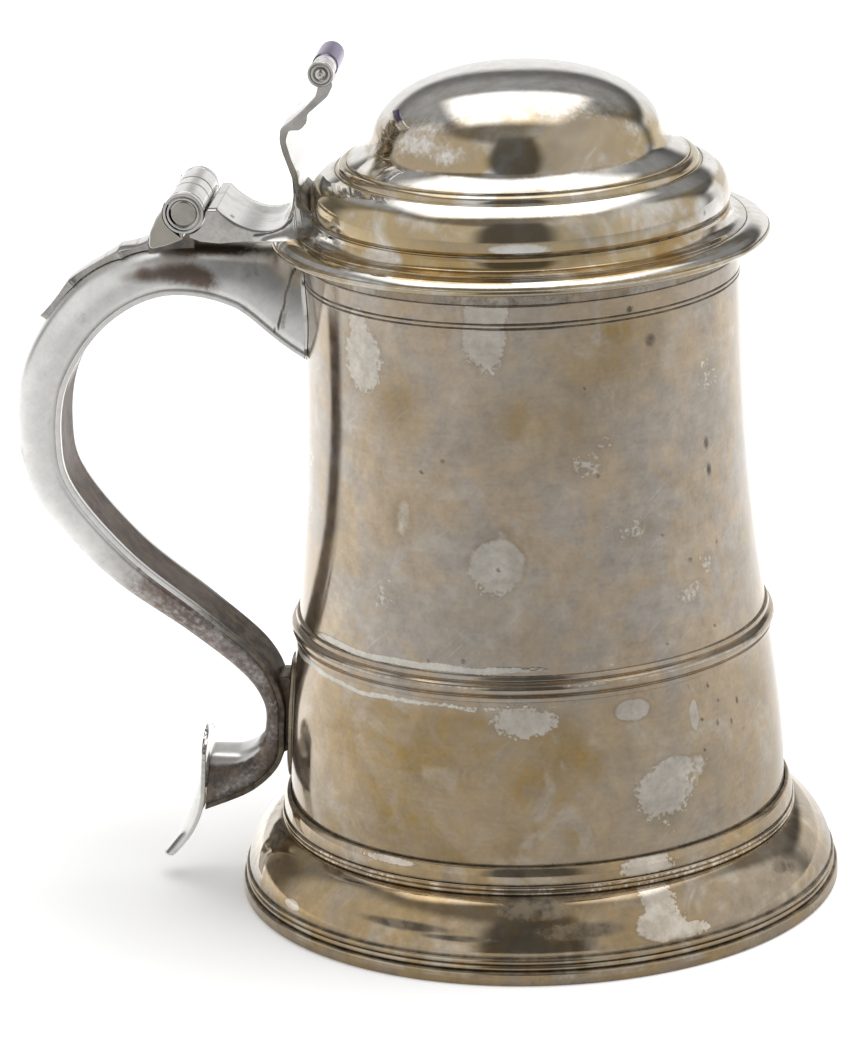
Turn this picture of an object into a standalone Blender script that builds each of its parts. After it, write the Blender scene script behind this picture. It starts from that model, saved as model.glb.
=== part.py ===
"""Lidded silver tankard: turned barrel and foot, hinged double-domed lid, hollow scroll handle.

The barrel's axis is vertical, the tankard stands on z = 0 and the handle points to -X.
"""
import math

import bmesh
import bpy
from mathutils import Vector

MM = 0.001

# Clearances
SEAT_GAP = 0.3 * MM          # seam between pieces that are soldered together
RUN_GAP = 0.4 * MM           # running clearance of the hinge

# Foot: moulded rim wire, spreading skirt, beaded wire and convex collar
FOOT_RADIUS = 68.8 * MM
FOOT_BAND_HEIGHT = 3.1 * MM
FOOT_REED_HEIGHT = 1.45 * MM
FOOT_RIM_WIDTH = 3.2 * MM
SKIRT_HEIGHT = 10.9 * MM
SKIRT_WALL = 1.0 * MM
SKIRT_ROUNDNESS = 1.6
COLLAR_WIRE_HEIGHT = 2.0 * MM
COLLAR_WIRE_PROUD = 0.5 * MM
COLLAR_HEIGHT = 3.7 * MM
COLLAR_THICKNESS = 1.6 * MM
COLLAR_LIP = 0.5 * MM

# Barrel
BARREL_HEIGHT = 128.8 * MM   # from the top of the collar to the lip
BARREL_FOOT_RADIUS = 56.7 * MM
BARREL_TOP_RADIUS = 48.7 * MM
BARREL_FLARE = 0.43          # share of the height over which the flare dies away
BARREL_WALL = 1.0 * MM
BOTTOM_WALL = 1.0 * MM
BOTTOM_DISH = 3.0 * MM       # how far the bottom sinks at its centre
LIP_BAND_HEIGHT = 3.0 * MM
LIP_BAND_WALL = 0.5 * MM
LIP_BAND_PROUD = 0.3 * MM
MID_BAND_HEIGHT = 5.8 * MM
MID_BAND_RISE = 37.3 * MM    # from the top of the collar to the band's lower edge
MID_BAND_PROUD = 1.3 * MM

# Lid
LID_FLANGE_RADIUS = 55.7 * MM
LID_RIM_HEIGHT = 2.4 * MM
LID_RIM_WIDTH = 1.5 * MM
LID_WALL = 1.0 * MM
FLANGE_RISE = 3.6 * MM       # from the top of the rim wire to the foot of the ovolo
OVOLO_RADIUS = 46.7 * MM
OVOLO_HEIGHT = 11.6 * MM
STEP_RADIUS = 40.6 * MM      # inner edge of the ovolo, where the dome's foot begins
STEP_HEIGHT = 0.8 * MM
DOME_RADIUS = 32.6 * MM
DOME_FOOT_WIDTH = 6.0 * MM   # spread of the cavetto at the dome's foot
DOME_FOOT_RISE = 2.4 * MM
DOME_HEIGHT = 17.5 * MM
DOME_FULLNESS = 2.25         # 2 is an ellipse, more is squarer
BEZEL_DEPTH = 2.8 * MM
BEZEL_WALL = 1.0 * MM
BEZEL_GAP = 0.8 * MM

# Hinge
HINGE_BEYOND_FLANGE = 18.1 * MM
HINGE_ABOVE_LIP = 9.1 * MM
HINGE_LENGTH = 27.0 * MM     # over the two end caps
LID_KNUCKLE_LENGTH = 5.2 * MM
KNUCKLE_RADIUS = 4.6 * MM
PIN_RADIUS = 1.5 * MM
CAP_RADIUS = 3.9 * MM
CAP_THICKNESS = 0.9 * MM
LEAF_WIDTH = 26.0 * MM
LEAF_THICKNESS = 1.4 * MM    # over the rim wire, at the lowest point of its saddle
BRACKET_WIDTH = 24.0 * MM
BRACKET_LENGTH = 8.6 * MM

# Thumbpiece, cast in one
THUMB_WIDTH = 23.0 * MM
THUMB_SETBACK = 2.0 * MM     # between the stem and the ovolo
THUMB_STEM_HEIGHT = 17.4 * MM
THUMB_LEAN = 1.8 * MM        # how far the stem leans to the handle
THUMB_ARM_HEIGHT = 13.0 * MM
THUMB_ARM_REACH = 9.2 * MM
THUMB_THICKNESS = 1.4 * MM
VOLUTE_RADIUS = 3.0 * MM

# Handle: a rounded back shell closed by a flat strip on the side that faces the barrel
HANDLE_REACH = 58.0 * MM     # how far the middle of the tube stands out from the barrel
HANDLE_WIDTH_TOP = 22.0 * MM
HANDLE_WIDTH_LOW = 14.0 * MM
HANDLE_WALL = 1.0 * MM
HANDLE_STRIP = 1.2 * MM
HANDLE_BELOW_LIP = 11.1 * MM  # middle of the upper joint below the lip
HANDLE_TAIL_RISE = 0.9 * MM   # middle of the tail above the top of the collar
HANDLE_TAIL_RAKE = 0.12       # slope of the tail's end, out for each unit down
HANDLE_JOINT = 0.08           # share of the handle over which each end turns upright
HANDLE_DEPTH = 11.2 * MM      # depth of the tube at its widest bow
PLATE_THICKNESS = 0.9 * MM
UPPER_PLATE_HEIGHT = 25.0 * MM
UPPER_PLATE_WIDTH = 27.0 * MM
PATCH_HEIGHT = 30.0 * MM
PATCH_WIDTH = 18.0 * MM
DROP_THICKNESS = 1.4 * MM
DROP_WIDTH = 16.0 * MM
TERMINAL_HEIGHT = 30.8 * MM
TERMINAL_WIDTH = 17.0 * MM
TERMINAL_THICKNESS = 1.1 * MM
TERMINAL_ROUND = 3.5 * MM       # how much lower the shoulders of its top are than the middle
TERMINAL_LEAN = 2.4 * MM
TERMINAL_KICK = 7.4 * MM       # how far its lower tip stands out
TERMINAL_BULGE = 1.9 * MM      # how far its middle swells out from its edges
VENT_RADIUS = 1.1 * MM

# Faceting
RING_STEPS = 40
TUBE_STEPS = 20
HANDLE_STEPS = 34

# Middle line of the handle as drawn, in mm, from the upper joint to the tail: distance out from the
# barrel's side, height above the tail, and depth of the tube
HANDLE_LINE = (
    (0.4, 116.8, 20.3),
    (12.3, 121.1, 13.5),
    (30.4, 122.4, 10.4),
    (46.1, 114.8, 11.0),
    (56.4, 99.3, 11.2),
    (58.0, 82.6, 11.0),
    (53.8, 69.2, 10.5),
    (39.0, 52.6, 9.2),
    (21.1, 39.0, 7.7),
    (8.5, 28.4, 7.0),
    (3.4, 20.1, 5.4),
    (2.6, 12.6, 4.8),
    (3.9, 6.6, 6.6),
    (9.5, 2.2, 9.0),
    (17.8, 0.0, 13.0),
)
DRAWN_REACH, DRAWN_RISE, DRAWN_DEPTH = 58.0, 116.8, 11.2

# Heights and radii that follow from the sizes above
FOOT_RIM_HEIGHT = FOOT_BAND_HEIGHT + 2 * FOOT_REED_HEIGHT
SKIRT_BASE_Z = FOOT_RIM_HEIGHT + SEAT_GAP
SKIRT_TOP_Z = SKIRT_BASE_Z + SKIRT_HEIGHT
COLLAR_WIRE_Z = SKIRT_TOP_Z + SEAT_GAP
COLLAR_Z = COLLAR_WIRE_Z + COLLAR_WIRE_HEIGHT + SEAT_GAP
BARREL_Z = COLLAR_Z + COLLAR_HEIGHT
LIP_Z = BARREL_Z + BARREL_HEIGHT
LID_Z = LIP_Z + SEAT_GAP
HINGE_X = -(LID_FLANGE_RADIUS + HINGE_BEYOND_FLANGE)
HINGE_Z = LIP_Z + HINGE_ABOVE_LIP
HANDLE_HIGH_Z = LIP_Z - HANDLE_BELOW_LIP
HANDLE_LOW_Z = BARREL_Z + HANDLE_TAIL_RISE
LEAF_END_X = -(OVOLO_RADIUS + THUMB_SETBACK)
OVOLO_Z = LID_Z + LID_RIM_HEIGHT + FLANGE_RISE

for old in list(bpy.data.objects):
    bpy.data.objects.remove(old, do_unlink=True)


def new_collection(name):
    group = bpy.data.collections.new(name)
    bpy.context.scene.collection.children.link(group)
    return group


PARTS = new_collection("tankard")
CUTTERS = new_collection("cutters")


def make_metal(name, colour, roughness):
    metal = bpy.data.materials.new(name)
    metal.use_nodes = True
    shader = metal.node_tree.nodes["Principled BSDF"]
    shader.inputs["Base Color"].default_value = (*colour, 1.0)
    shader.inputs["Metallic"].default_value = 1.0
    shader.inputs["Roughness"].default_value = roughness
    return metal


TARNISHED = make_metal("tarnished_silver", (0.60, 0.54, 0.45), 0.22)
POLISHED = make_metal("polished_silver", (0.80, 0.79, 0.77), 0.14)
AGED = make_metal("aged_silver", (0.44, 0.41, 0.36), 0.30)


def barrel_radius(z):
    """Outer radius of the barrel: upright at the lip, with a bell-shaped flare to the foot."""
    rise = (z - BARREL_Z) / BARREL_HEIGHT
    flare = BARREL_FOOT_RADIUS - BARREL_TOP_RADIUS
    return BARREL_TOP_RADIUS + flare * math.exp(-((rise / BARREL_FLARE) ** 2))


def arc(centre_r, centre_z, radius_r, radius_z, start, end, count, power=2.0):
    """Points of a superellipse arc between two angles in degrees, both ends included."""
    points = []
    for index in range(count + 1):
        angle = math.radians(start + (end - start) * index / count)
        c, s = math.cos(angle), math.sin(angle)
        across = math.copysign(abs(c) ** (2 / power), c)
        up = math.copysign(abs(s) ** (2 / power), s)
        points.append((centre_r + radius_r * across, centre_z + radius_z * up))
    return points


def place(item, metal, parent=None):
    """Links an object, gives it its metal and hangs it on the barrel's axis."""
    PARTS.objects.link(item)
    item.data.materials.append(metal)
    item.parent = parent or AXIS
    return item


def smooth(mesh):
    mesh.shade_smooth()
    mesh.set_sharp_from_angle(angle=math.radians(35))


def turned(name, profile, metal, closed=True, steps=RING_STEPS):
    """A turned piece: the profile runs down its outer side and is spun about Z."""
    mesh = bpy.data.meshes.new(name)
    count = len(profile)
    edges = [(i, (i + 1) % count) for i in range(count if closed else count - 1)]
    mesh.from_pydata([(r, 0, z) for r, z in profile], edges, [])
    item = bpy.data.objects.new(name, mesh)
    spin = item.modifiers.new("spin", "SCREW")
    spin.steps = steps
    spin.render_steps = steps
    spin.use_merge_vertices = True
    spin.merge_threshold = 0.00001
    spin.use_smooth_shade = True
    return place(item, metal)


def lay_on_hinge(item, y):
    """Turns a piece made about Z so that it lies along the hinge, at the given distance along it."""
    item.location = (HINGE_X, y, HINGE_Z)
    item.rotation_euler = (math.pi / 2, 0, 0)
    return item


def extruded(name, outline, width, metal):
    """A flat side outline in X and Z, given its width along Y."""
    curve = bpy.data.curves.new(name, "CURVE")
    curve.dimensions = "2D"
    curve.fill_mode = "BOTH"
    curve.extrude = width / 2
    curve.render_resolution_u = 0
    spline = curve.splines.new("POLY")
    spline.points.add(len(outline) - 1)
    for point, (x, z) in zip(spline.points, outline):
        point.co = (x, z, 0, 1)
    spline.use_cyclic_u = True
    item = bpy.data.objects.new(name, curve)
    item.rotation_euler = (math.pi / 2, 0, 0)
    return place(item, metal)


def lofted(name, rings, metal):
    """A solid through equal closed rings of points, capped at both ends."""
    mesh = bpy.data.meshes.new(name)
    work = bmesh.new()
    rows = [[work.verts.new(point) for point in ring] for ring in rings]
    for low, high in zip(rows, rows[1:]):
        count = len(low)
        for i in range(count):
            j = (i + 1) % count
            work.faces.new((low[i], low[j], high[j], high[i]))
    work.faces.new(rows[0][::-1])
    work.faces.new(rows[-1])
    bmesh.ops.recalc_face_normals(work, faces=work.faces)
    work.to_mesh(mesh)
    work.free()
    smooth(mesh)
    return place(bpy.data.objects.new(name, mesh), metal)


def plate(name, surface, columns, rows, thickness, metal):
    """A thin plate: surface(u, v) with u and v from -1 to 1 is its middle, thickened both ways."""
    mesh = bpy.data.meshes.new(name)
    work = bmesh.new()
    bmesh.ops.create_grid(work, x_segments=columns, y_segments=rows, size=1.0)
    for vert in work.verts:
        vert.co = surface(vert.co.x, vert.co.y)
    bmesh.ops.recalc_face_normals(work, faces=work.faces)
    work.to_mesh(mesh)
    work.free()
    smooth(mesh)
    item = bpy.data.objects.new(name, mesh)
    wall = item.modifiers.new("wall", "SOLIDIFY")
    wall.thickness = thickness
    wall.offset = 0.0
    return place(item, metal)


def disc_from_square(u, v):
    """Maps the square grid evenly on to a disc of radius 1."""
    return u * math.sqrt(1 - v * v / 2), v * math.sqrt(1 - u * u / 2)


def spline_point(points, position):
    """Catmull-Rom curve through equal-length tuples; position runs from 0 to len(points) - 1."""
    start = min(int(position), len(points) - 2)
    t = position - start
    p1, p2 = points[start], points[start + 1]
    p0 = points[start - 1] if start else [2 * a - b for a, b in zip(p1, p2)]
    last = start + 2 >= len(points)
    p3 = [2 * b - a for a, b in zip(p1, p2)] if last else points[start + 2]
    result = []
    for a, b, c, d in zip(p0, p1, p2, p3):
        cubic = -a + 3 * b - 3 * c + d
        square = 2 * a - 5 * b + 4 * c - d
        result.append(0.5 * (2 * b + (c - a) * t + square * t * t + cubic * t ** 3))
    return result


def handle_frame(share):
    """Middle, outward normal, depth and width of the handle at a share of the way along it."""
    low, high = barrel_radius(HANDLE_LOW_Z), barrel_radius(HANDLE_HIGH_Z)

    def middle(position):
        out, up, depth = spline_point(HANDLE_LINE, position)
        up /= DRAWN_RISE
        side = low + (high - low) * up + PLATE_THICKNESS + 2 * SEAT_GAP
        x = -(side + out * HANDLE_REACH / DRAWN_REACH)
        z = HANDLE_LOW_Z + up * (HANDLE_HIGH_Z - HANDLE_LOW_Z)
        return Vector((x, 0, z)), depth * HANDLE_DEPTH / DRAWN_DEPTH

    last = len(HANDLE_LINE) - 1
    position = share * last
    centre, depth = middle(position)
    step = 0.02
    ahead = middle(min(position + step, last))[0]
    behind = middle(max(position - step, 0))[0]
    along = (ahead - behind).normalized()
    square = max(0.0, 1 - share / HANDLE_JOINT, 1 - (1 - share) / HANDLE_JOINT)
    upright = Vector((HANDLE_TAIL_RAKE if share > 0.5 else 0, 0, 1))
    outward = Vector((along.z, 0, -along.x)).lerp(upright, square).normalized()
    width = HANDLE_WIDTH_TOP + (HANDLE_WIDTH_LOW - HANDLE_WIDTH_TOP) * min(1.0, share * 1.4)
    return centre, outward, depth, width


HANDLE_FRAMES = [handle_frame(i / HANDLE_STEPS) for i in range(HANDLE_STEPS + 1)]
HANDLE_BOW = min((centre + outward * depth / 2).x for centre, outward, depth, width in HANDLE_FRAMES)

# The origin is under the middle of the whole tankard, so the barrel's axis stands towards +X
AXIS = bpy.data.objects.new("barrel_axis", None)
AXIS.location = (-(HANDLE_BOW + FOOT_RADIUS) / 2, 0, 0)
PARTS.objects.link(AXIS)


def make_foot():
    """Rim wire with two reeds, spreading skirt, beaded wire and convex collar."""
    groove = 0.5 * FOOT_REED_HEIGHT
    rim = []
    for z in (FOOT_BAND_HEIGHT + 1.5 * FOOT_REED_HEIGHT, FOOT_BAND_HEIGHT + 0.5 * FOOT_REED_HEIGHT):
        rim += arc(FOOT_RADIUS - 2 * groove, z, groove, groove, 80, -80, 4)
    rim += [(FOOT_RADIUS, FOOT_BAND_HEIGHT), (FOOT_RADIUS, 0)]
    inside = FOOT_RADIUS - FOOT_RIM_WIDTH
    rim += [(inside, 0), (inside, FOOT_RIM_HEIGHT)]
    turned("foot_rim_wire", rim, TARNISHED)

    seat = barrel_radius(BARREL_Z) + SEAT_GAP
    skirt_base = FOOT_RADIUS - 2 * groove
    skirt_top = seat + COLLAR_THICKNESS
    outer = arc(skirt_top, SKIRT_BASE_Z, skirt_base - skirt_top, SKIRT_HEIGHT, 90, 0, 7, SKIRT_ROUNDNESS)
    wall = SKIRT_WALL
    inner_height = SKIRT_HEIGHT - wall
    inner = arc(skirt_top, SKIRT_BASE_Z, skirt_base - skirt_top - wall, inner_height, 0, 80, 6, SKIRT_ROUNDNESS)
    neck = [(seat, SKIRT_TOP_Z - wall), (seat, SKIRT_TOP_Z)]
    turned("foot_skirt", outer + inner + neck, TARNISHED)

    half = COLLAR_WIRE_HEIGHT / 4
    bead = skirt_top + COLLAR_WIRE_PROUD - half
    wire = arc(bead, COLLAR_WIRE_Z + 3 * half, half, half, 80, -80, 4)
    wire += arc(bead, COLLAR_WIRE_Z + half, half, half, 80, -80, 4)
    wire += [(seat, COLLAR_WIRE_Z), (seat, COLLAR_WIRE_Z + COLLAR_WIRE_HEIGHT)]
    turned("foot_collar_wire", wire, POLISHED)

    spread = COLLAR_THICKNESS - COLLAR_LIP
    collar = arc(seat + COLLAR_LIP, COLLAR_Z, spread, COLLAR_HEIGHT, 90, 0, 5)
    collar += [(seat, COLLAR_Z), (seat, BARREL_Z)]
    turned("foot_collar", collar, TARNISHED)


def make_body():
    """Barrel, its soldered bottom, the lip band let into it and the applied mid band."""
    rebate = LIP_BAND_WALL + SEAT_GAP - LIP_BAND_PROUD
    band_z = LIP_Z - LIP_BAND_HEIGHT
    base = barrel_radius(BARREL_Z)
    rows = 9
    heights = [band_z - SEAT_GAP - (band_z - SEAT_GAP - BARREL_Z) * i / rows for i in range(rows + 1)]
    side = [(barrel_radius(z), z) for z in heights] + [(base, COLLAR_WIRE_Z)]
    lip = BARREL_TOP_RADIUS - rebate
    outer = [(lip, LIP_Z), (lip, band_z - SEAT_GAP)] + side
    inner = [(r - BARREL_WALL, z) for r, z in reversed(side)] + [(BARREL_TOP_RADIUS - BARREL_WALL, LIP_Z)]
    turned("body_barrel", outer + inner, TARNISHED)

    edge = base - BARREL_WALL - SEAT_GAP
    top = COLLAR_Z + COLLAR_HEIGHT / 2
    dish = [(0, top - BOTTOM_DISH), (edge / 2, top - 0.75 * BOTTOM_DISH), (edge, top)]
    under = [(r, z - BOTTOM_WALL) for r, z in reversed(dish)]
    turned("body_bottom", dish + under, AGED, closed=False)

    outside = BARREL_TOP_RADIUS + LIP_BAND_PROUD
    inside = outside - LIP_BAND_WALL
    turned("lip_band", [(outside, LIP_Z), (outside, band_z), (inside, band_z), (inside, LIP_Z)], TARNISHED)

    foot = BARREL_Z + MID_BAND_RISE
    head = foot + MID_BAND_HEIGHT
    share = MID_BAND_HEIGHT / 6
    crest = barrel_radius(foot) + MID_BAND_PROUD
    fillet = MID_BAND_PROUD / 2

    def seat(z):
        return barrel_radius(z) + SEAT_GAP

    profile = [(seat(head) + fillet / 2, head), (seat(head - share) + fillet, head - share)]
    profile += arc(crest - 1.5 * share, foot + MID_BAND_HEIGHT / 2, 1.5 * share, 1.6 * share, 75, -75, 5)
    profile += [(seat(foot + share) + fillet, foot + share), (seat(foot) + fillet / 2, foot)]
    profile += [(seat(foot), foot), (seat(head), head)]
    turned("mid_band", profile, TARNISHED)


def lid_outside():
    """Outer side of the lid from the crown down to the inner edge of its rim wire."""
    step_z = OVOLO_Z + OVOLO_HEIGHT
    dome_z = step_z + STEP_HEIGHT + DOME_FOOT_RISE
    crown = arc(0, dome_z, DOME_RADIUS, DOME_HEIGHT, 90, 0, 9, DOME_FULLNESS)
    spread = DOME_RADIUS + DOME_FOOT_WIDTH
    foot = arc(spread, dome_z, -DOME_FOOT_WIDTH, -DOME_FOOT_RISE, 0, 90, 3)[1:]
    step = [(spread, step_z)]
    middle = OVOLO_Z + 0.25 * OVOLO_HEIGHT
    width = OVOLO_RADIUS - STEP_RADIUS
    ovolo = arc(STEP_RADIUS, middle, width, step_z - middle, 90, 0, 5)
    ovolo += arc(STEP_RADIUS, middle, width, middle - OVOLO_Z, 0, -60, 2)[1:]
    end = LID_FLANGE_RADIUS - LID_RIM_WIDTH - SEAT_GAP
    flange_z = LID_Z + LID_RIM_HEIGHT
    flange = arc(end, OVOLO_Z, OVOLO_RADIUS - end, -(OVOLO_Z - flange_z), 0, 90, 4)
    return crown + foot + step + ovolo + flange


def make_lid():
    """Raised double-domed cover, its rim wire and the bezel that drops inside the lip."""
    outside = lid_outside()
    end = outside[-1][0]
    inside = [(end, LID_Z), (OVOLO_RADIUS - LID_WALL, LID_Z)]
    inside += [(OVOLO_RADIUS - LID_WALL, OVOLO_Z + 0.4 * OVOLO_HEIGHT)]
    inside += [(STEP_RADIUS - LID_WALL, OVOLO_Z + OVOLO_HEIGHT - LID_WALL)]
    dome_z = OVOLO_Z + OVOLO_HEIGHT + STEP_HEIGHT + DOME_FOOT_RISE
    bowl = arc(0, dome_z, DOME_RADIUS - LID_WALL, DOME_HEIGHT - LID_WALL, 0, 90, 7, DOME_FULLNESS)
    turned("lid_cover", outside + inside + bowl, TARNISHED, closed=False)

    radius = LID_RIM_HEIGHT / 2
    rim = arc(LID_FLANGE_RADIUS - radius, LID_Z + radius, radius, radius, 90, -90, 6)
    inner = LID_FLANGE_RADIUS - LID_RIM_WIDTH
    rim += [(inner, LID_Z), (inner, LID_Z + LID_RIM_HEIGHT)]
    turned("lid_rim_wire", rim, POLISHED)

    outer = BARREL_TOP_RADIUS - BARREL_WALL - BEZEL_GAP
    ledge = min(outer, OVOLO_RADIUS - LID_WALL - SEAT_GAP)
    top = LID_Z + BEZEL_WALL
    shelf = LID_Z - SEAT_GAP
    foot = LIP_Z - BEZEL_DEPTH
    bezel = [(ledge, top), (ledge, shelf), (outer, shelf), (outer, foot), (outer - BEZEL_WALL, foot)]
    bezel += [(outer - BEZEL_WALL, shelf - BEZEL_WALL), (ledge - BEZEL_WALL, shelf - BEZEL_WALL)]
    bezel += [(ledge - BEZEL_WALL, top)]
    turned("lid_bezel", bezel, AGED)


def make_hinge():
    """Three knuckles on one pin with a cap at each end, the lid's leaf and the handle's bracket."""
    bore = PIN_RADIUS + SEAT_GAP
    outer_length = (HINGE_LENGTH - LID_KNUCKLE_LENGTH) / 2 - RUN_GAP - CAP_THICKNESS - SEAT_GAP
    offset = LID_KNUCKLE_LENGTH / 2 + RUN_GAP + outer_length / 2

    def knuckle(name, length, y):
        half = length / 2
        profile = [(KNUCKLE_RADIUS, half), (KNUCKLE_RADIUS, -half), (bore, -half), (bore, half)]
        lay_on_hinge(turned(name, profile, POLISHED, steps=TUBE_STEPS), y)

    knuckle("hinge_knuckle_near", outer_length, -offset)
    knuckle("hinge_knuckle_lid", LID_KNUCKLE_LENGTH, 0)
    knuckle("hinge_knuckle_far", outer_length, offset)

    pin_half = HINGE_LENGTH / 2 - CAP_THICKNESS - SEAT_GAP
    pin = [(0, pin_half), (PIN_RADIUS, pin_half), (PIN_RADIUS, -pin_half), (0, -pin_half)]
    lay_on_hinge(turned("hinge_pin", pin, AGED, closed=False, steps=TUBE_STEPS), 0)

    sink = CAP_THICKNESS / 3
    rim = 0.88 * CAP_RADIUS
    for name, side in (("hinge_cap_near", 1), ("hinge_cap_far", -1)):
        face = [(0, CAP_THICKNESS - sink), (rim - sink, CAP_THICKNESS - sink), (rim, CAP_THICKNESS)]
        cap = face + [(CAP_RADIUS, CAP_THICKNESS), (CAP_RADIUS, 0), (0, 0)]
        item = turned(name, cap, POLISHED, closed=False, steps=TUBE_STEPS)
        lay_on_hinge(item, -side * (HINGE_LENGTH / 2 - CAP_THICKNESS))
        item.rotation_euler = (side * math.pi / 2, 0, 0)

    seat = KNUCKLE_RADIUS + RUN_GAP
    saddle_x = (HINGE_X + LEAF_END_X) / 2 + 0.2 * LEAF_THICKNESS
    floor_z = LID_Z + LID_RIM_HEIGHT + SEAT_GAP
    saddle_z = floor_z + LEAF_THICKNESS
    span = saddle_x - HINGE_X - seat - 0.3 * KNUCKLE_RADIUS
    reach = LEAF_END_X - THUMB_THICKNESS - saddle_x
    rise = HINGE_Z - saddle_z
    leaf = arc(HINGE_X, HINGE_Z, seat, seat, -72, 0, 6)
    leaf += arc(saddle_x, HINGE_Z, span, rise, -180, -90, 5)
    leaf += arc(saddle_x, HINGE_Z, reach, rise, -90, 0, 5)[1:]
    leaf += [(LEAF_END_X, HINGE_Z), (LEAF_END_X, OVOLO_Z - 0.5 * FLANGE_RISE)]
    leaf += [(-(LID_FLANGE_RADIUS - LID_RIM_WIDTH), floor_z), (-LID_FLANGE_RADIUS, floor_z)]
    extruded("lid_hinge_leaf", leaf, LEAF_WIDTH, POLISHED)

    foot_z = handle_back_height(HINGE_X - BRACKET_LENGTH / 2) + SEAT_GAP
    fit = KNUCKLE_RADIUS + SEAT_GAP
    bracket = arc(HINGE_X, HINGE_Z, fit, fit, 192, 258, 6)
    bracket += [(HINGE_X - 0.1 * KNUCKLE_RADIUS, foot_z), (HINGE_X - BRACKET_LENGTH, foot_z)]
    extruded("handle_hinge_bracket", bracket, BRACKET_WIDTH, POLISHED)


def make_thumbpiece():
    """Cast thumbpiece: an upright stem, a knee, an arm that leans to the lid and a rolled volute."""
    base_z = HINGE_Z + SEAT_GAP
    foot = Vector((LEAF_END_X - THUMB_THICKNESS / 2, base_z))
    knee = Vector((foot.x - THUMB_LEAN, base_z + THUMB_STEM_HEIGHT))
    roll = Vector((knee.x + THUMB_ARM_REACH, knee.y + THUMB_ARM_HEIGHT))
    half = THUMB_THICKNESS / 2

    def on_arm(along, up):
        return knee.x + along * THUMB_ARM_REACH, knee.y + up * THUMB_ARM_HEIGHT

    left = [(foot.x - half, foot.y), (knee.x - 1.2 * half, knee.y - 3 * half), (knee.x - half, knee.y)]
    left += [on_arm(0.22, 0.18), on_arm(0.55, 0.40), on_arm(0.84, 0.60)]
    volute = arc(roll.x, roll.y, VOLUTE_RADIUS, VOLUTE_RADIUS, 240, -35, 12)
    right = [on_arm(1.15, 0.62), on_arm(0.92, 0.47), on_arm(0.58, 0.27)]
    right += [on_arm(0.55, 0.10), on_arm(0.40, 0.0), (knee.x + half, knee.y)]
    right += [(knee.x + half, knee.y - 3 * half), (foot.x + half, foot.y)]
    extruded("thumbpiece", left + volute + right, THUMB_WIDTH, POLISHED)


def handle_back_height(x):
    """Highest point of the handle's back near a place on its upper run."""
    return max((c + n * d / 2).z for c, n, d, w in HANDLE_FRAMES if abs((c + n * d / 2).x - x) < 12 * MM)


def make_handle():
    """Rounded back shell and the strip that closes it, with a vent in the strip under the tail."""
    across = 8
    shell_rings = []
    strip_rings = []
    round_barrel = BARREL_TOP_RADIUS + PLATE_THICKNESS + 2 * SEAT_GAP
    for index, (centre, outward, depth, width) in enumerate(HANDLE_FRAMES):
        saddle = max(0.0, 1 - index / (HANDLE_JOINT * HANDLE_STEPS))
        floor = -depth / 2 + HANDLE_STRIP + SEAT_GAP
        crown = depth / 2 - floor
        half = width / 2
        outside = arc(0, floor, half, crown, 180, 0, across, 2.4)
        inside = arc(0, floor, half - HANDLE_WALL, crown - HANDLE_WALL, 0, 180, across, 2.4)
        places = [half * (i / 2 - 1) for i in range(5)]
        strip = [(y, -depth / 2) for y in places]
        strip += [(y, -depth / 2 + HANDLE_STRIP) for y in reversed(places)]

        def to_world(points):
            sag = [saddle * (round_barrel - math.sqrt(round_barrel ** 2 - y * y)) for y, n in points]
            return [centre + outward * n + Vector((x, y, 0)) for (y, n), x in zip(points, sag)]

        shell_rings.append(to_world(outside + inside))
        strip_rings.append(to_world(strip))
    lofted("handle_back", shell_rings, AGED)
    strip = lofted("handle_inner_strip", strip_rings, AGED)

    centre, outward, depth, width = HANDLE_FRAMES[-3]
    seat = centre - outward * depth / 2
    bpy.ops.mesh.primitive_cylinder_add(vertices=12, radius=VENT_RADIUS, depth=4 * HANDLE_STRIP)
    drill = bpy.context.object
    drill.name = "vent_drill"
    drill.parent = AXIS
    drill.location = seat + Vector((0, -width / 4, 0))
    drill.rotation_euler = outward.to_track_quat("Z", "Y").to_euler()
    drill.hide_render = True
    drill.display_type = "WIRE"
    for group in drill.users_collection:
        group.objects.unlink(drill)
    CUTTERS.objects.link(drill)
    cut = strip.modifiers.new("vent", "BOOLEAN")
    cut.operation = "DIFFERENCE"
    cut.object = drill


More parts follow.
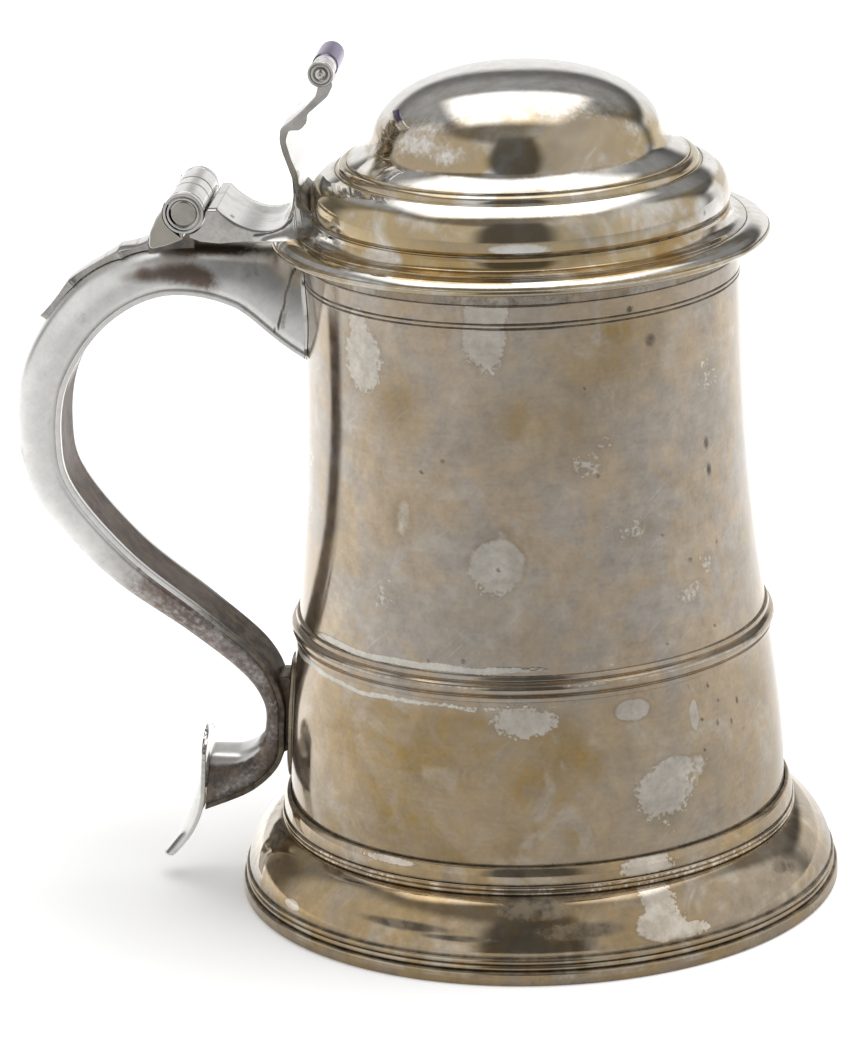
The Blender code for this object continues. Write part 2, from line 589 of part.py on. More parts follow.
def make_handle_fittings():
    """Plates between handle and barrel, the strap down the handle's back and the tail's shield."""
    def on_barrel(middle_z, height, width):
        def surface(u, v):
            across, up = disc_from_square(u, v)
            y, z = across * width / 2, middle_z + up * height / 2
            radius = barrel_radius(z) + SEAT_GAP + PLATE_THICKNESS / 2
            return Vector((-math.sqrt(radius * radius - y * y), y, z))
        return surface

    upper_z = LIP_Z - LIP_BAND_HEIGHT - SEAT_GAP - UPPER_PLATE_HEIGHT / 2
    upper = on_barrel(upper_z, UPPER_PLATE_HEIGHT, UPPER_PLATE_WIDTH)
    plate("handle_upper_plate", upper, 8, 8, PLATE_THICKNESS, POLISHED)
    patch_z = BARREL_Z + 2 * SEAT_GAP + PATCH_HEIGHT / 2
    patch = on_barrel(patch_z, PATCH_HEIGHT, PATCH_WIDTH)
    plate("handle_patch_plate", patch, 8, 8, PLATE_THICKNESS, AGED)

    first, last = 0.157, 0.255

    def strap(u, v):
        share = (v + 1) / 2
        centre, outward, depth, width = handle_frame(first + (last - first) * share)
        lift = depth / 2 + SEAT_GAP + DROP_THICKNESS / 2
        return centre + outward * lift + Vector((0, u * DROP_WIDTH / 2 * (1 - 0.75 * share), 0))

    plate("handle_drop", strap, 4, 12, DROP_THICKNESS, POLISHED)

    centre, outward, depth, width = HANDLE_FRAMES[-1]
    edge_x = centre.x - HANDLE_TAIL_RAKE * depth / 2 + 2 * SEAT_GAP
    top_z = centre.z + TERMINAL_HEIGHT * 0.37

    def shield(u, v):
        down = (1 - v) / 2
        half = TERMINAL_WIDTH / 2 * (1 - 0.64 * down ** 3 - 0.12 * math.sin(math.pi * down))
        kick = TERMINAL_KICK * max(0.0, 2 * down - 1) ** 1.6
        bulge = TERMINAL_BULGE * math.sin(0.74 * math.pi * down) * (1 - u * u)
        x = edge_x - TERMINAL_LEAN * down - kick - bulge
        z = top_z - TERMINAL_HEIGHT * down - TERMINAL_ROUND * u * u * (1 - down)
        return Vector((x, u * half, z))

    plate("handle_terminal", shield, 6, 12, TERMINAL_THICKNESS, POLISHED)


make_foot()
make_body()
make_lid()
make_hinge()
make_thumbpiece()
make_handle()
make_handle_fittings()
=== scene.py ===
"""Lidded silver tankard, tarnished and partly rubbed bright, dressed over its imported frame.

Sizes in the text are in mm from the barrel's axis and the table; meshes are in metres in the frame.
"""
from functools import partial

import bmesh
import bpy
import numpy as np
from mathutils import Matrix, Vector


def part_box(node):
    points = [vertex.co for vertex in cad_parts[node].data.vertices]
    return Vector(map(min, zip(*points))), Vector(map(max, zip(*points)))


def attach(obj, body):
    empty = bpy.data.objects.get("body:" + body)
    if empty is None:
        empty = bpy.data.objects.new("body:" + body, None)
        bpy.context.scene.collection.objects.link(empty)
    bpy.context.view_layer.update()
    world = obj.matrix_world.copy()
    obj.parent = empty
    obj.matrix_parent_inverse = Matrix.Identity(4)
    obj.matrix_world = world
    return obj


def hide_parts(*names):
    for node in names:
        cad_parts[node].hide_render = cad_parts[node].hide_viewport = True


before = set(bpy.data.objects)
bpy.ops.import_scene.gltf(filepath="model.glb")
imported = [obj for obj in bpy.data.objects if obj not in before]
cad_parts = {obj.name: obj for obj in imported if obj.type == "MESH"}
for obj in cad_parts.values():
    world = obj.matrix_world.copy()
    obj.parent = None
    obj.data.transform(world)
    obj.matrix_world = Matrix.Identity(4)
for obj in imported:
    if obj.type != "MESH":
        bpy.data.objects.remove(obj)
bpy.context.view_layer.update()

# Foot rim: a drawn silver wire with two reeds over a flat band, bent into a ring and soldered
# under the edge of the skirt. The tankard stands on the band.
MM = 0.001
barrel_low, barrel_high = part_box("body_barrel")
AXIS_X = (barrel_low.x + barrel_high.x) / 2


def linear(hex_colour):
    """sRGB hex to the linear values of the shaders, by the sRGB curve."""
    channels = np.array([int(hex_colour[i:i + 2], 16) for i in (1, 3, 5)]) / 255
    bent = np.where(channels <= 0.04045, channels / 12.92, ((channels + 0.055) / 1.055) ** 2.4)
    return (*bent.tolist(), 1.0)


def add(tree, kind, inputs=(), out=0, **settings):
    """Adds one shader node and gives back one of its outputs, or the node itself where out is None.
    kind is its type, with its operation after a space if it has one. inputs are sockets or values, in
    the node's own order or by name, and settings are its other properties."""
    family, _, operation = kind.partition(" ")
    made = tree.nodes.new("ShaderNode" + family)
    if operation:
        made.operation = operation
    for key, value in settings.items():
        setattr(made, key, value)
    for socket, source in inputs.items() if isinstance(inputs, dict) else enumerate(inputs):
        if isinstance(source, bpy.types.NodeSocket):
            tree.links.new(source, made.inputs[socket])
        else:
            made.inputs[socket].default_value = source
    return made if out is None else made.outputs[out]


SMOOTH = {"interpolation_type": "SMOOTHSTEP"}
COLOURS = {"out": 2, "data_type": "RGBA"}


def overlap(node, *steps):
    """Product of smooth steps. Each is a value, the two places between which it climbs, and its heights
    there if they aren't 0 and 1."""
    share = node("MapRange", steps[0], **SMOOTH)
    for step in steps[1:]:
        share = node("Math MULTIPLY", (share, node("MapRange", step, **SMOOTH)))
    return share


def sterling(name, bare, films, cover, gloss, marks=1.0):
    """Sterling silver under a sulphide film: clouds of the film's colours, bare where it is rubbed.

    films are its three tones, cover is the share that it hides, gloss is the roughness of the bare
    metal and marks the strength of the tool marks. The fields of a piece add to the clouds.
    """
    metal = bpy.data.materials.new(name)
    metal.use_nodes = True
    tree = metal.node_tree
    shader = tree.nodes["Principled BSDF"]
    node = partial(add, tree)

    def swayed(start, *terms):
        """start plus the swing of each source about its mean of 0.5, times its weight."""
        for source, weight in terms:
            swing = node("Math SUBTRACT", (source, 0.5))
            start = node("Math MULTIPLY_ADD", (swing, weight, start))
        return start

    # Places in mm; on a lathe they are drawn out round the axis, and on a slant along the hairlines
    place = node("TexCoord", out="Object")
    mm = node("Mapping", {"Vector": place, "Scale": (1000, 1000, 1000), "Location": (-1000 * AXIS_X, 0, 0)})
    around = node("VectorMath MULTIPLY", (mm, (1, 1, 0)))
    reach = node("VectorMath LENGTH", (around,), "Value")
    drawn_out = node("VectorMath MULTIPLY", (mm, (0.09, 0.09, 1)))
    lathe = node("VectorMath ADD", (drawn_out, node("CombineXYZ", {2: reach})))
    slant = node("Mapping", {"Vector": mm, "Rotation": (0, -0.75, 0), "Scale": (16, 16, 0.45)},
                 vector_type="TEXTURE")

    # Size in mm, detail and swirl of each pattern: clouds of the film, drifts of its hue and gold,
    # blotches, mottle and specks of its wear, thin places, dents, lathe strokes and hairlines
    patterns = (
        (mm, 36, 3, 0.6), (mm, 15, 4, 0.8), (mm, 52, 2, 0.9), (mm, 8.5, 5, 0.3), (mm, 3.4, 5, 0.0),
        (mm, 1.0, 3, 0.0), (mm, 21, 5, 1.6), (mm, 12, 2, 0.0), (lathe, 0.7, 2, 0.0), (slant, 1.0, 2, 0.3))
    clouds, drifts, golds, blotches, mottle, specks, thins, dents, strokes, hairlines = (
        node("TexNoise", {"Vector": source, "Scale": 1 / size, "Detail": detail, "Roughness": 0.58,
                          "Distortion": swirl}) for source, size, detail, swirl in patterns)
    rubbed, laid, gilt, soil_and_shade_field, solder = (
        node("Attribute", out="Fac", attribute_name=title)
        for title in ("rubbed", "film", "gilt", "soil_and_painted_shade", "residue"))

    # Where the film is, with the painted shadow that the handle lays in it, and where it is rubbed through
    # with a brown tide line round the bare place
    swing = node("Math SUBTRACT", (specks, 0.5))
    crumbs = node("Math MULTIPLY", (swing, node("MapRange", (clouds, 0.42, 0.60), **SMOOTH)))
    crumbs = node("Math MULTIPLY", (crumbs, 0.3 + 0.6 * marks))
    ragged = swayed(crumbs, (blotches, 0.45), (mottle, 0.15))
    edge = node("Math ADD", (rubbed, ragged))
    soft = 0.06 + 0.16 * (1 - marks)
    bared = node("MapRange", (edge, 0.49 - soft, 0.49 + soft), **SMOOTH)
    tide = node("MapRange", (edge, 0.39 - soft, 0.40 + soft), **SMOOTH)
    tide = node("Math SUBTRACT", (tide, bared))
    bared = node("Math MULTIPLY", (bared, swayed(0.84, (mottle, 0.9))))
    haze = node("Mix", {0: 0.45, 2: clouds, 3: blotches})
    level = 0.66 - 0.32 * cover
    film = overlap(node, (haze, level - 0.08, level + 0.08), (thins, 0.52, 0.68, 1.0, 0.60))
    laid = node("MapRange", (node("Math ADD", (laid, ragged)), 0.30, 0.70), **SMOOTH)
    film = node("Math MAXIMUM", (film, laid))
    film = node("Math MULTIPLY", (film, node("Math SUBTRACT", (1.0, bared))))

    # Dirt in the creases and in small pits, painted shade and painted reflections from some pieces, and grey
    # solder left beside the joints
    dots = node("TexVoronoi", {"Vector": mm, "Scale": 1 / 11.0, "Randomness": 1.0}, None).outputs
    chosen = node("SeparateColor", (dots["Color"],))
    pits = overlap(node, (dots["Distance"], 0.075, 0.035, 0.0, 0.55), (chosen, 0.62, 0.70))
    soil_and_painted_shade = node("Math MULTIPLY_ADD", (ragged, 0.8, soil_and_shade_field))
    soil_and_painted_shade = node("MapRange", (soil_and_painted_shade, 0.25, 0.75), **SMOOTH)
    dark = node("Math MAXIMUM", (soil_and_painted_shade, pits))
    solder = node("MapRange", (node("Math ADD", (solder, ragged)), 0.42, 0.60), **SMOOTH)

    # Colour: the film's tones over each other, then film, dirt with painted shade, and solder over the bare
    # metal
    hue = node("Mix", {0: 0.6, 2: clouds, 3: drifts})
    warm = node("Math ADD", (node("MapRange", (golds, 0.48, 0.76, 0.0, 0.5), **SMOOTH), gilt))
    warm = node("Math MULTIPLY", (warm, swayed(0.7, (drifts, 2.5), (mottle, 1.2))))
    tone = linear(films[0])
    for share, over in (
            (node("MapRange", (hue, 0.42, 0.58), **SMOOTH), films[1]), (warm, films[2]),
            (node("Math MULTIPLY", (tide, 0.30)), "#7C6A52")):
        tone = node("Mix", {0: share, 6: tone, 7: linear(over)}, **COLOURS)
    crusts = node("MapRange", (mottle, 0.38, 0.62), **SMOOTH)
    dirt_with_painted_shade = node("Mix", {0: crusts, 6: linear("#3B342C"), 7: linear("#7B6F5C")}, **COLOURS)
    colour = linear(bare)
    for share, over in (
            (film, tone), (node("Math MULTIPLY", (dark, 0.85)), dirt_with_painted_shade),
            (solder, linear("#D6D2C8"))):
        colour = node("Mix", {0: share, 6: colour, 7: over}, **COLOURS)
    rough = 0.3 + 0.7 * marks
    wear = swayed(1.0, (clouds, 0.25), (blotches, 0.50 * rough), (mottle, 0.55 * rough),
                  (specks, 0.30 * rough), (strokes, 0.16 * rough))
    hairs = overlap(node, (hairlines, 0.62, 0.74), (drifts, 0.44, 0.62))
    wear = node("Math MULTIPLY_ADD", (hairs, 0.22 * marks, wear))
    worn = node("VectorMath SCALE", {0: colour, "Scale": wear})

    # Film, dirt and solder dull the metal; dents, strokes, pits and solder give it relief
    crust = node("Math MAXIMUM", (soil_and_painted_shade, solder))
    dull = node("Math MULTIPLY_ADD", (film, 0.04, gloss))
    dull = node("Math MULTIPLY_ADD", (crust, 0.25, dull))
    dull = swayed(dull, (blotches, 0.16 * rough), (mottle, 0.12 * rough), (strokes, 0.05 * rough))
    relief = node("Math MULTIPLY", (dents, 0.015 + 0.03 * marks))
    for source, height in ((strokes, 0.0020 * marks), (dark, -0.012), (solder, 0.05)):
        relief = node("Math MULTIPLY_ADD", (source, height, relief))
    for socket, source in (
            ("Base Color", worn), ("Roughness", node("Math MAXIMUM", (dull, 0.03))),
            ("Metallic", node("Math MULTIPLY_ADD", (soil_and_painted_shade, -0.6, 0.94))),
            ("Normal", node("Bump", {"Height": relief, "Distance": MM}))):
        tree.links.new(source, shader.inputs[socket])
    return metal


# Old sterling with a sulphide film: warm tan and grey clouds, golden in places, satin to the eye
TARNISHED = sterling("tarnished sterling", "#C3BDB3", ("#B9A891", "#AFA79D", "#A0875A"), 1.0, 0.10)
# The same silver lower down, where the film has turned golden
GOLDEN = sterling("golden tarnished sterling", "#D9D0C2", ("#B49C76", "#AA9B86", "#A58552"), 0.95, 0.06)


def arc(centre_r, centre_z, radius_r, radius_z, start, end, count, power=2.0):
    """Superellipse arc in the r, z plane between two angles in degrees, count steps long."""
    angle = np.radians(np.linspace(start, end, count + 1))
    across = np.sign(np.cos(angle)) * np.abs(np.cos(angle)) ** (2 / power)
    up = np.sign(np.sin(angle)) * np.abs(np.sin(angle)) ** (2 / power)
    return np.column_stack([centre_r + radius_r * across, centre_z + radius_z * up])


def line(*corners):
    """Corner points of a straight-sided run."""
    return np.array(corners, float)


def softened(corners, radius, closed=True):
    """Rounds each corner that turns by over 14 degrees: a quadratic curve that leaves the line at the
    radius and joins it again. Points of a gentler bend stay as they are."""
    before = np.roll(corners, 1, axis=0)
    after = np.roll(corners, -1, axis=0)
    if not closed:
        before[0] = corners[0]
        after[-1] = corners[-1]
    back, ahead = before - corners, after - corners
    across = back[:, 1] * ahead[:, 0] - back[:, 0] * ahead[:, 1]
    sharp = np.abs(np.arctan2(across, -np.sum(back * ahead, axis=1))) > np.radians(14)
    reach = np.array([1.5, 1.0])[:, None, None] * radius
    leave = np.minimum(0.47, reach / np.maximum(np.hypot(back[:, 0], back[:, 1])[:, None], 1e-6))
    join = np.minimum(0.47, reach / np.maximum(np.hypot(ahead[:, 0], ahead[:, 1])[:, None], 1e-6))
    t = np.linspace(0, 1, 5)[None, :, None]
    start, end = corners + back * leave[1], corners + ahead * join[1]
    curve = (1 - t) ** 2 * start[:, None] + 2 * t * (1 - t) * corners[:, None] + t ** 2 * end[:, None]
    first, last = corners + back * leave[0], corners + ahead * join[0]
    rounded = np.concatenate([first[:, None], curve, last[:, None]], axis=1)
    rounded[:, 3] = np.where(sharp[:, None], rounded[:, 3], corners)
    kept = np.repeat(sharp[:, None], 7, axis=1)
    kept[:, 3] = True
    return rounded[kept]


def stepped(profile, longest):
    """The same line with points added so that no step is longer than the given length."""
    length = np.hypot(*np.diff(profile, axis=0).T)
    count = np.maximum(1, np.ceil(length / longest)).astype(int)
    begin = np.concatenate([[0], np.cumsum(length)])
    number = np.arange(count.sum()) - np.repeat(np.cumsum(count) - count, count)
    places = np.append(np.repeat(begin[:-1], count) + number * np.repeat(length / count, count), begin[-1])
    return np.column_stack([np.interp(places, begin, profile[:, i]) for i in range(profile.shape[1])])


def surface(name, grid, closed_rows=False, closed_columns=True, caps=False):
    """Mesh of a grid of points in mm: each cell is a face. Closed lines join last to first, caps
    close the first and last row, and points that meet at a pole or a seam are welded."""
    rows, columns = grid.shape[:2]
    index = np.arange(rows * columns).reshape(rows, columns)
    ring = np.vstack([index, index[:1]]) if closed_rows else index
    ring = np.hstack([ring, ring[:, :1]]) if closed_columns else ring
    cells = np.stack([ring[:-1, :-1], ring[:-1, 1:], ring[1:, 1:], ring[1:, :-1]], axis=-1)
    faces = cells.reshape(-1, 4).tolist()
    if caps:
        faces += [index[0, ::-1].tolist(), index[-1].tolist()]
    mesh = bpy.data.meshes.new(name)
    mesh.from_pydata((grid.reshape(-1, 3) * MM + (AXIS_X, 0, 0)).tolist(), [], faces)
    work = bmesh.new()
    work.from_mesh(mesh)
    bmesh.ops.remove_doubles(work, verts=work.verts, dist=0.001 * MM)
    bmesh.ops.recalc_face_normals(work, faces=work.faces)
    work.to_mesh(mesh)
    work.free()
    mesh.shade_smooth()
    piece = bpy.data.objects.new(name, mesh)
    bpy.context.scene.collection.objects.link(piece)
    return piece


def turned(name, profile, wave=0.0, columns=360, closed=True):
    """A profile of r and z spun about the barrel's axis. wave is the hand-raised unevenness: a sum of
    sines of the angle with 2, 3, 5 and 9 lobes that shift slowly with height."""
    angle = np.linspace(0, 2 * np.pi, columns, endpoint=False)[None, :]
    r, z = profile[:, :1], profile[:, 1:]
    lobes = np.sin(2 * angle + 0.011 * z + 0.8) + 0.6 * np.sin(3 * angle - 0.02 * z + 2.1)
    lobes = lobes + 0.35 * np.sin(5 * angle + 0.06 * z) + 0.18 * np.sin(9 * angle - 0.11 * z + 1.0)
    uneven = r + wave * lobes * np.minimum(1, r / 12)
    grid = np.stack([uneven * np.cos(angle), uneven * np.sin(angle), z + 0 * angle], axis=-1)
    return surface(name, grid, closed_rows=closed)


def dress(piece, metal, slot, body, *nodes):
    """Gives a piece its metal, its body and the frame nodes that it stands for."""
    piece.data.materials.append(metal)
    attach(piece, body)
    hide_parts(*nodes)


def points_of(piece):
    """Points of a piece in mm from the barrel's axis, one a row."""
    points = np.empty(len(piece.data.vertices) * 3)
    piece.data.vertices.foreach_get("co", points)
    return points.reshape(-1, 3) / MM - (AXIS_X / MM, 0, 0)


def bearings(piece):
    """Bearing in degrees from the front towards +X, radius and height in mm of a piece's points."""
    x, y, z = points_of(piece).T
    return np.degrees(np.arctan2(x, -y)), np.hypot(x, y), z


def near(values, middle, width):
    """Bell curve about the middle: e to the power of minus the squared distance in widths."""
    return np.exp(-((values - middle) / width) ** 2)


def fade(values, start, end):
    """Straight rise from 0 at the start to 1 at the end, level beyond both."""
    return np.clip((values - start) / (end - start), 0, 1)


def paint(piece, title, values):
    """Stores one value a point, or one for all, as a field that the metal reads."""
    layer = piece.data.attributes.new(title, "FLOAT", "POINT")
    spread = np.broadcast_to(values, len(piece.data.vertices))
    layer.data.foreach_set("value", np.ascontiguousarray(spread, dtype=np.float32))


def patches(piece, spots):
    """Field of oval patches: 0.5 to the power of the squared distance, so 0.5 on each outline.
    A spot is its bearing, height, half width round the piece and half height, in degrees and mm."""
    bearing, radius, height = bearings(piece)
    total = np.zeros(len(height))
    for middle, level, half_width, half_height in spots:
        side = np.radians((bearing - middle + 180) % 360 - 180) * radius / half_width
        total = np.maximum(total, 0.5 ** (side ** 2 + ((height - level) / half_height) ** 2))
    return total


reeds = [arc(67.35, 5.27, 0.72, 0.72, 88, -82, 16), arc(67.35, 3.83, 0.72, 0.72, 82, -86, 16)]
band = line((68.45, 3.1), (68.8, 2.7), (68.8, 0.4), (68.4, 0.0), (65.6, 0.0), (65.6, 6.0))
foot_rim = turned("foot_rim", softened(np.concatenate(reeds + [band]), 0.12))
_, _, height = bearings(foot_rim)
grooves = near(height, 3.1, 0.25) + near(height, 4.55, 0.2)
# The band that it stands on is darker towards the bottom.
darker_band = 0.42 * fade(height, 2.7, 2.1)
paint(foot_rim, "soil_and_painted_shade", 0.75 * grooves + darker_band + 0.8 * near(height, 6.0, 0.3))
paint(foot_rim, "film", fade(height, 3.2, 1.2))
dress(foot_rim, GOLDEN, "tarnished_silver", "body", "foot_rim_wire")


# Foot skirt: sheet silver raised over stakes to a convex spread between the rim and the collar.
# Its film is golden, with bare patches where it has been rubbed, and low on its front a painted dark
# reflection.
def bare_left(piece):
    """Field of the foot's side under the handle, rubbed thin between bearings of -58 and -135."""
    bearing, _, _ = bearings(piece)
    return 0.6 * fade(bearing, -58, -70) * fade(bearing, -135, -110)


outer = arc(58.6, 6.0, 8.75, 11.3, 90, 0, 48, 1.6)
inner = arc(58.6, 6.0, 7.7, 10.2, 0, 80, 24, 1.6)
skirt_line = softened(np.concatenate([outer, inner, line((57.0, 16.3), (57.0, 17.3))]), 0.1)
foot_skirt = turned("skirt_shell", skirt_line, 0.05)
_, _, height = bearings(foot_skirt)
paint(foot_skirt, "rubbed", np.maximum(bare_left(foot_skirt), patches(foot_skirt, [
    (29, 15.5, 4.0, 4.0), (28.5, 10.5, 5.6, 3.4), (34, 8.3, 5.0, 1.6), (-52, 8.2, 3.0, 1.1)])))
# Dark patches: the four across the front are a painted reflection of the dark stand in front; two small ones
# on the right only darken it.
painted_reflections_and_dark_patches = patches(foot_skirt, [
    (62, 13.4, 2.6, 1.3), (65, 12.2, 1.6, 1.2), (-22, 11.2, 11, 0.9), (-12, 9.8, 8, 0.6),
    (13, 11.2, 9, 1.5), (3, 15.4, 7, 1.6)])
edges = 0.7 * near(height, 6.2, 0.5) + 0.5 * np.exp((height - 17.3) / 0.5)
paint(foot_skirt, "soil_and_painted_shade", 0.95 * painted_reflections_and_dark_patches + edges)
dress(foot_skirt, GOLDEN, "tarnished_silver", "body", "foot_skirt")

# Collar wire: a double beaded wire that hides the joint of skirt and collar, rubbed bright on its
# crests. It is drawn silver, soldered round the base.
beads = [arc(58.55, 19.02, 0.55, 0.55, 88, -75, 16), arc(58.55, 17.98, 0.55, 0.55, 75, -88, 16)]
wire_line = softened(np.concatenate(beads + [line((57.0, 17.4), (57.0, 19.6))]), 0.06)
collar_wire = turned("collar_wire", wire_line)
_, radius, _ = bearings(collar_wire)
paint(collar_wire, "soil_and_painted_shade", 0.9 * fade(radius, 58.85, 58.6))
paint(collar_wire, "rubbed", 0.45 * fade(radius, 58.8, 59.0))
dress(collar_wire, GOLDEN, "polished_silver", "body", "foot_collar_wire")

# Collar: a convex moulding of sheet silver round the barrel's base, golden with tarnish and dirty
# where it meets the wire below and the barrel above.
collar_line = np.concatenate([arc(57.4, 19.7, 1.2, 3.8, 90, 0, 20), line((57.0, 19.7), (57.0, 23.5))])
foot_collar = turned("collar_ring", softened(collar_line, 0.1), 0.03)
_, _, height = bearings(foot_collar)
spots = patches(foot_collar, [(29, 21.5, 6.0, 2.5), (-30, 22.6, 7, 0.7)])
paint(foot_collar, "rubbed", np.maximum(bare_left(foot_collar), spots))
paint(foot_collar, "soil_and_painted_shade", 0.8 * np.exp((19.7 - height) / 0.5) + 0.6 * np.exp((height - 23.5) / 0.35))
dress(foot_collar, GOLDEN, "tarnished_silver", "body", "foot_collar")

# Barrel: sheet silver raised in one piece and planished, with two lines incised below the lip.
# Its film is tan and grey, with bare drops where a cleaning fluid ran and spots where it pitted.
LIP_RADIUS, FLARE = 48.7, 8.0
MOUTH_Z = 152.3
INCISED_LINES = (144.95, 143.95)
WALL = 1.0


def barrel_radius(height):
    """Radius of the barrel: upright at the lip, with a bell-shaped flare to the foot."""
    return LIP_RADIUS + FLARE * near((height - 23.5) / 128.8, 0, 0.43)


levels = np.unique(np.concatenate([np.linspace(17.5, 149.3, 190), np.linspace(143.0, 145.8, 36)]))[::-1]
cuts = sum(near(levels, cut, 0.17) for cut in INCISED_LINES)
side = np.column_stack([barrel_radius(levels) - 0.24 * cuts, levels])
bore = np.linspace(17.5, MOUTH_Z, 30)
inside = np.column_stack([barrel_radius(bore) - WALL, bore])
barrel_line = np.concatenate([line((48.3, MOUTH_Z), (48.3, 149.3)), side, inside])
barrel = turned("barrel", barrel_line, 0.06)
bearing, radius, height = bearings(barrel)
skin = radius > barrel_radius(height) - 0.6
rubbed = patches(barrel, [
    (-41.5, 134.5, 5.4, 7.2), (-43, 142, 2.6, 4), (-5.2, 141.5, 4.6, 6.4), (-4.8, 149, 4.6, 6),
    (-3.3, 91.0, 6.3, 5.8), (34.8, 37, 6.6, 5.4), (37.5, 42, 4.8, 2.6), (2.5, 56.4, 6.4, 3.1),
    (28, 57, 4.2, 2.4), (44.8, 52.5, 1.2, 3.6)])
faint = patches(barrel, [
    (-1.5, 98, 6.0, 5.0), (19.5, 112.5, 6.5, 4.2), (25, 116.5, 5.0, 3.0), (49, 80, 7.5, 4.5),
    (54, 85, 4.5, 4), (33, 96, 11, 5), (36, 30, 5, 4), (45, 41, 7, 6), (-30, 100, 7, 9),
    (-33, 82, 6, 7), (60, 125, 6, 9)])
under_handle = fade(bearing, -56, -70) * fade(bearing, -125, -100)
rubbed = np.maximum.reduce([rubbed, 0.46 * faint, 0.38 * under_handle])
paint(barrel, "rubbed", np.where(skin, rubbed, 0))
drops = patches(barrel, [
    (38.9, 138.3, 1.5, 1.6), (57.8, 111.7, 1.0, 1.5), (58.4, 105.3, 0.8, 1.7), (40.3, 94.2, 0.6, 0.6),
    (48.5, 86.9, 0.6, 0.6), (33, 146, 0.8, 0.8), (-23, 111, 0.6, 0.5), (-3.2, 90.2, 0.5, 0.5),
    (52, 49, 0.6, 0.9), (47, 44, 0.5, 0.5), (50, 58, 0.5, 0.7), (53, 54, 0.6, 0.5), (47, 51, 0.5, 0.5),
    (57, 48, 0.6, 0.8), (60, 52, 0.5, 1.0), (61.5, 45, 0.5, 0.9), (44, 59, 0.4, 0.4), (55, 70.5, 0.5, 0.5),
    (39, 70, 0.5, 0.4), (-12, 69.5, 0.8, 0.5), (-21, 68.8, 0.6, 0.4), (20, 130, 0.4, 0.4)])
runs = patches(barrel, [(-19.5, 40.5, 3.4, 0.8), (57.4, 99, 0.7, 3.5), (38.5, 92, 2.2, 1.4)])
lines = sum(near(height, cut, 0.22) for cut in INCISED_LINES)
corner = 0.4 * np.exp(-np.abs(height - 66.9) / 0.4) + 0.45 * np.exp(-np.abs(height - 60.4) / 0.4)
corner = corner + 0.7 * np.exp((23.6 - height) / 0.5) + 0.6 * np.exp((height - 149.2) / 0.3)
soil_and_painted_shade = np.maximum.reduce([0.85 * drops, 0.85 * 0.45 * runs, lines + np.minimum(corner, 1)])
paint(barrel, "soil_and_painted_shade", np.where(skin, soil_and_painted_shade, 0.25))
turn = np.radians(bearing)
wander = 0.45 * np.sin(4 * turn + 1) + 0.35 * np.sin(11 * turn) + 0.25 * np.sin(23 * turn + 2)
above = near(height - 0.5 * wander, 67.7, 0.9)
below = near(height - 0.7 * wander, 59.4, 0.85) * (0.62 - 0.5 * np.sin(turn + 0.1))
leftward = fade(bearing, 12, -8) * fade(bearing, -62, -54)
paint(barrel, "residue", np.where(skin, (0.42 + 0.6 * leftward) * above + 0.85 * below, 0))
leftmost = fade(bearing, 25, -15) * fade(bearing, -80, -55)
gilt = (0.40 + 0.55 * leftmost) * fade(height, 63, 57) * (0.8 + 0.2 * np.sin(3 * turn + 2.4))
golden_spots = patches(barrel, [
    (30, 141.8, 9, 5), (24.4, 134, 11, 8), (8, 122, 10, 8), (-30, 126, 6, 7)])
paint(barrel, "gilt", np.maximum(gilt, 0.8 * golden_spots))
dress(barrel, TARNISHED, "tarnished_silver", "body", "body_barrel")

# Bottom: a dished disc of sheet silver, let into the barrel's base and soldered round its edge.
# It has never been polished, so its film is brown and dull.
dish = line((0, 18.6), (18, 18.9), (36, 20.0), (50, 21.2), (55.4, 21.6))
under = dish[::-1] - (0, WALL)
bottom_line = softened(np.concatenate([dish, under]), 2.0, closed=False)
barrel_bottom = turned("barrel_bottom", bottom_line, 0.04, 240, closed=False)
DULL = sterling("dull brown sterling", "#B9B2A6", ("#948672", "#85796B", "#9C8558"), 0.85, 0.24)
dress(barrel_bottom, DULL, "aged_silver", "body", "body_bottom")

# Lip band: a thin strip of silver soldered round the mouth, let into the barrel so that it stands
# 0.3 mm proud, with its lower edge a sharp line.
lip_line = softened(line((49.0, MOUTH_Z), (49.0, 149.25), (48.4, 149.25), (48.4, MOUTH_Z)), 0.12)
lip_band = turned("lip_strip", lip_line, 0.06)
_, _, height = bearings(lip_band)
paint(lip_band, "rubbed", patches(lip_band, [(-5, 150.8, 5.4, 4), (40, 150.6, 7, 3), (-40, 151, 4, 3)]))
paint(lip_band, "soil_and_painted_shade", 0.8 * np.exp((149.3 - height) / 0.25) + 0.5 * np.exp((height - 152.2) / 0.4))
dress(lip_band, TARNISHED, "tarnished_silver", "body", "lip_band")

# Mid band: a cast and drawn moulding with a bead between two fillets, bent round the barrel's lower
# third and soldered, with grey solder left along both edges.
seat = barrel_radius(60.8)
band_line = np.concatenate([
    line((barrel_radius(66.6) + 0.1, 66.7), (barrel_radius(66.6) + 0.6, 66.55),
         (barrel_radius(65.6) + 0.7, 65.7), (barrel_radius(65.3) + 0.25, 65.3)),
    arc(seat - 0.1, 63.65, 1.4, 1.35, 68, -68, 16),
    line((seat + 0.28, 62.15), (seat + 0.75, 61.9), (seat + 0.62, 60.95), (seat + 0.1, 60.65),
         (seat - 0.4, 61.0), (barrel_radius(66) - 0.3, 66.4))])
mid_band = turned("girdle_band", softened(band_line, 0.12), 0.06)
_, _, height = bearings(mid_band)
paint(mid_band, "rubbed", 0.5 * near(height, 64.3, 0.7) + 0.5 * near(height, 61.6, 0.3))
crease = near(height, 65.2, 0.3) + near(height, 62.2, 0.25)
edges = 0.5 * np.exp((60.75 - height) / 0.3) + 0.4 * np.exp((height - 66.6) / 0.3)
paint(mid_band, "soil_and_painted_shade", 0.38 * crease + edges)
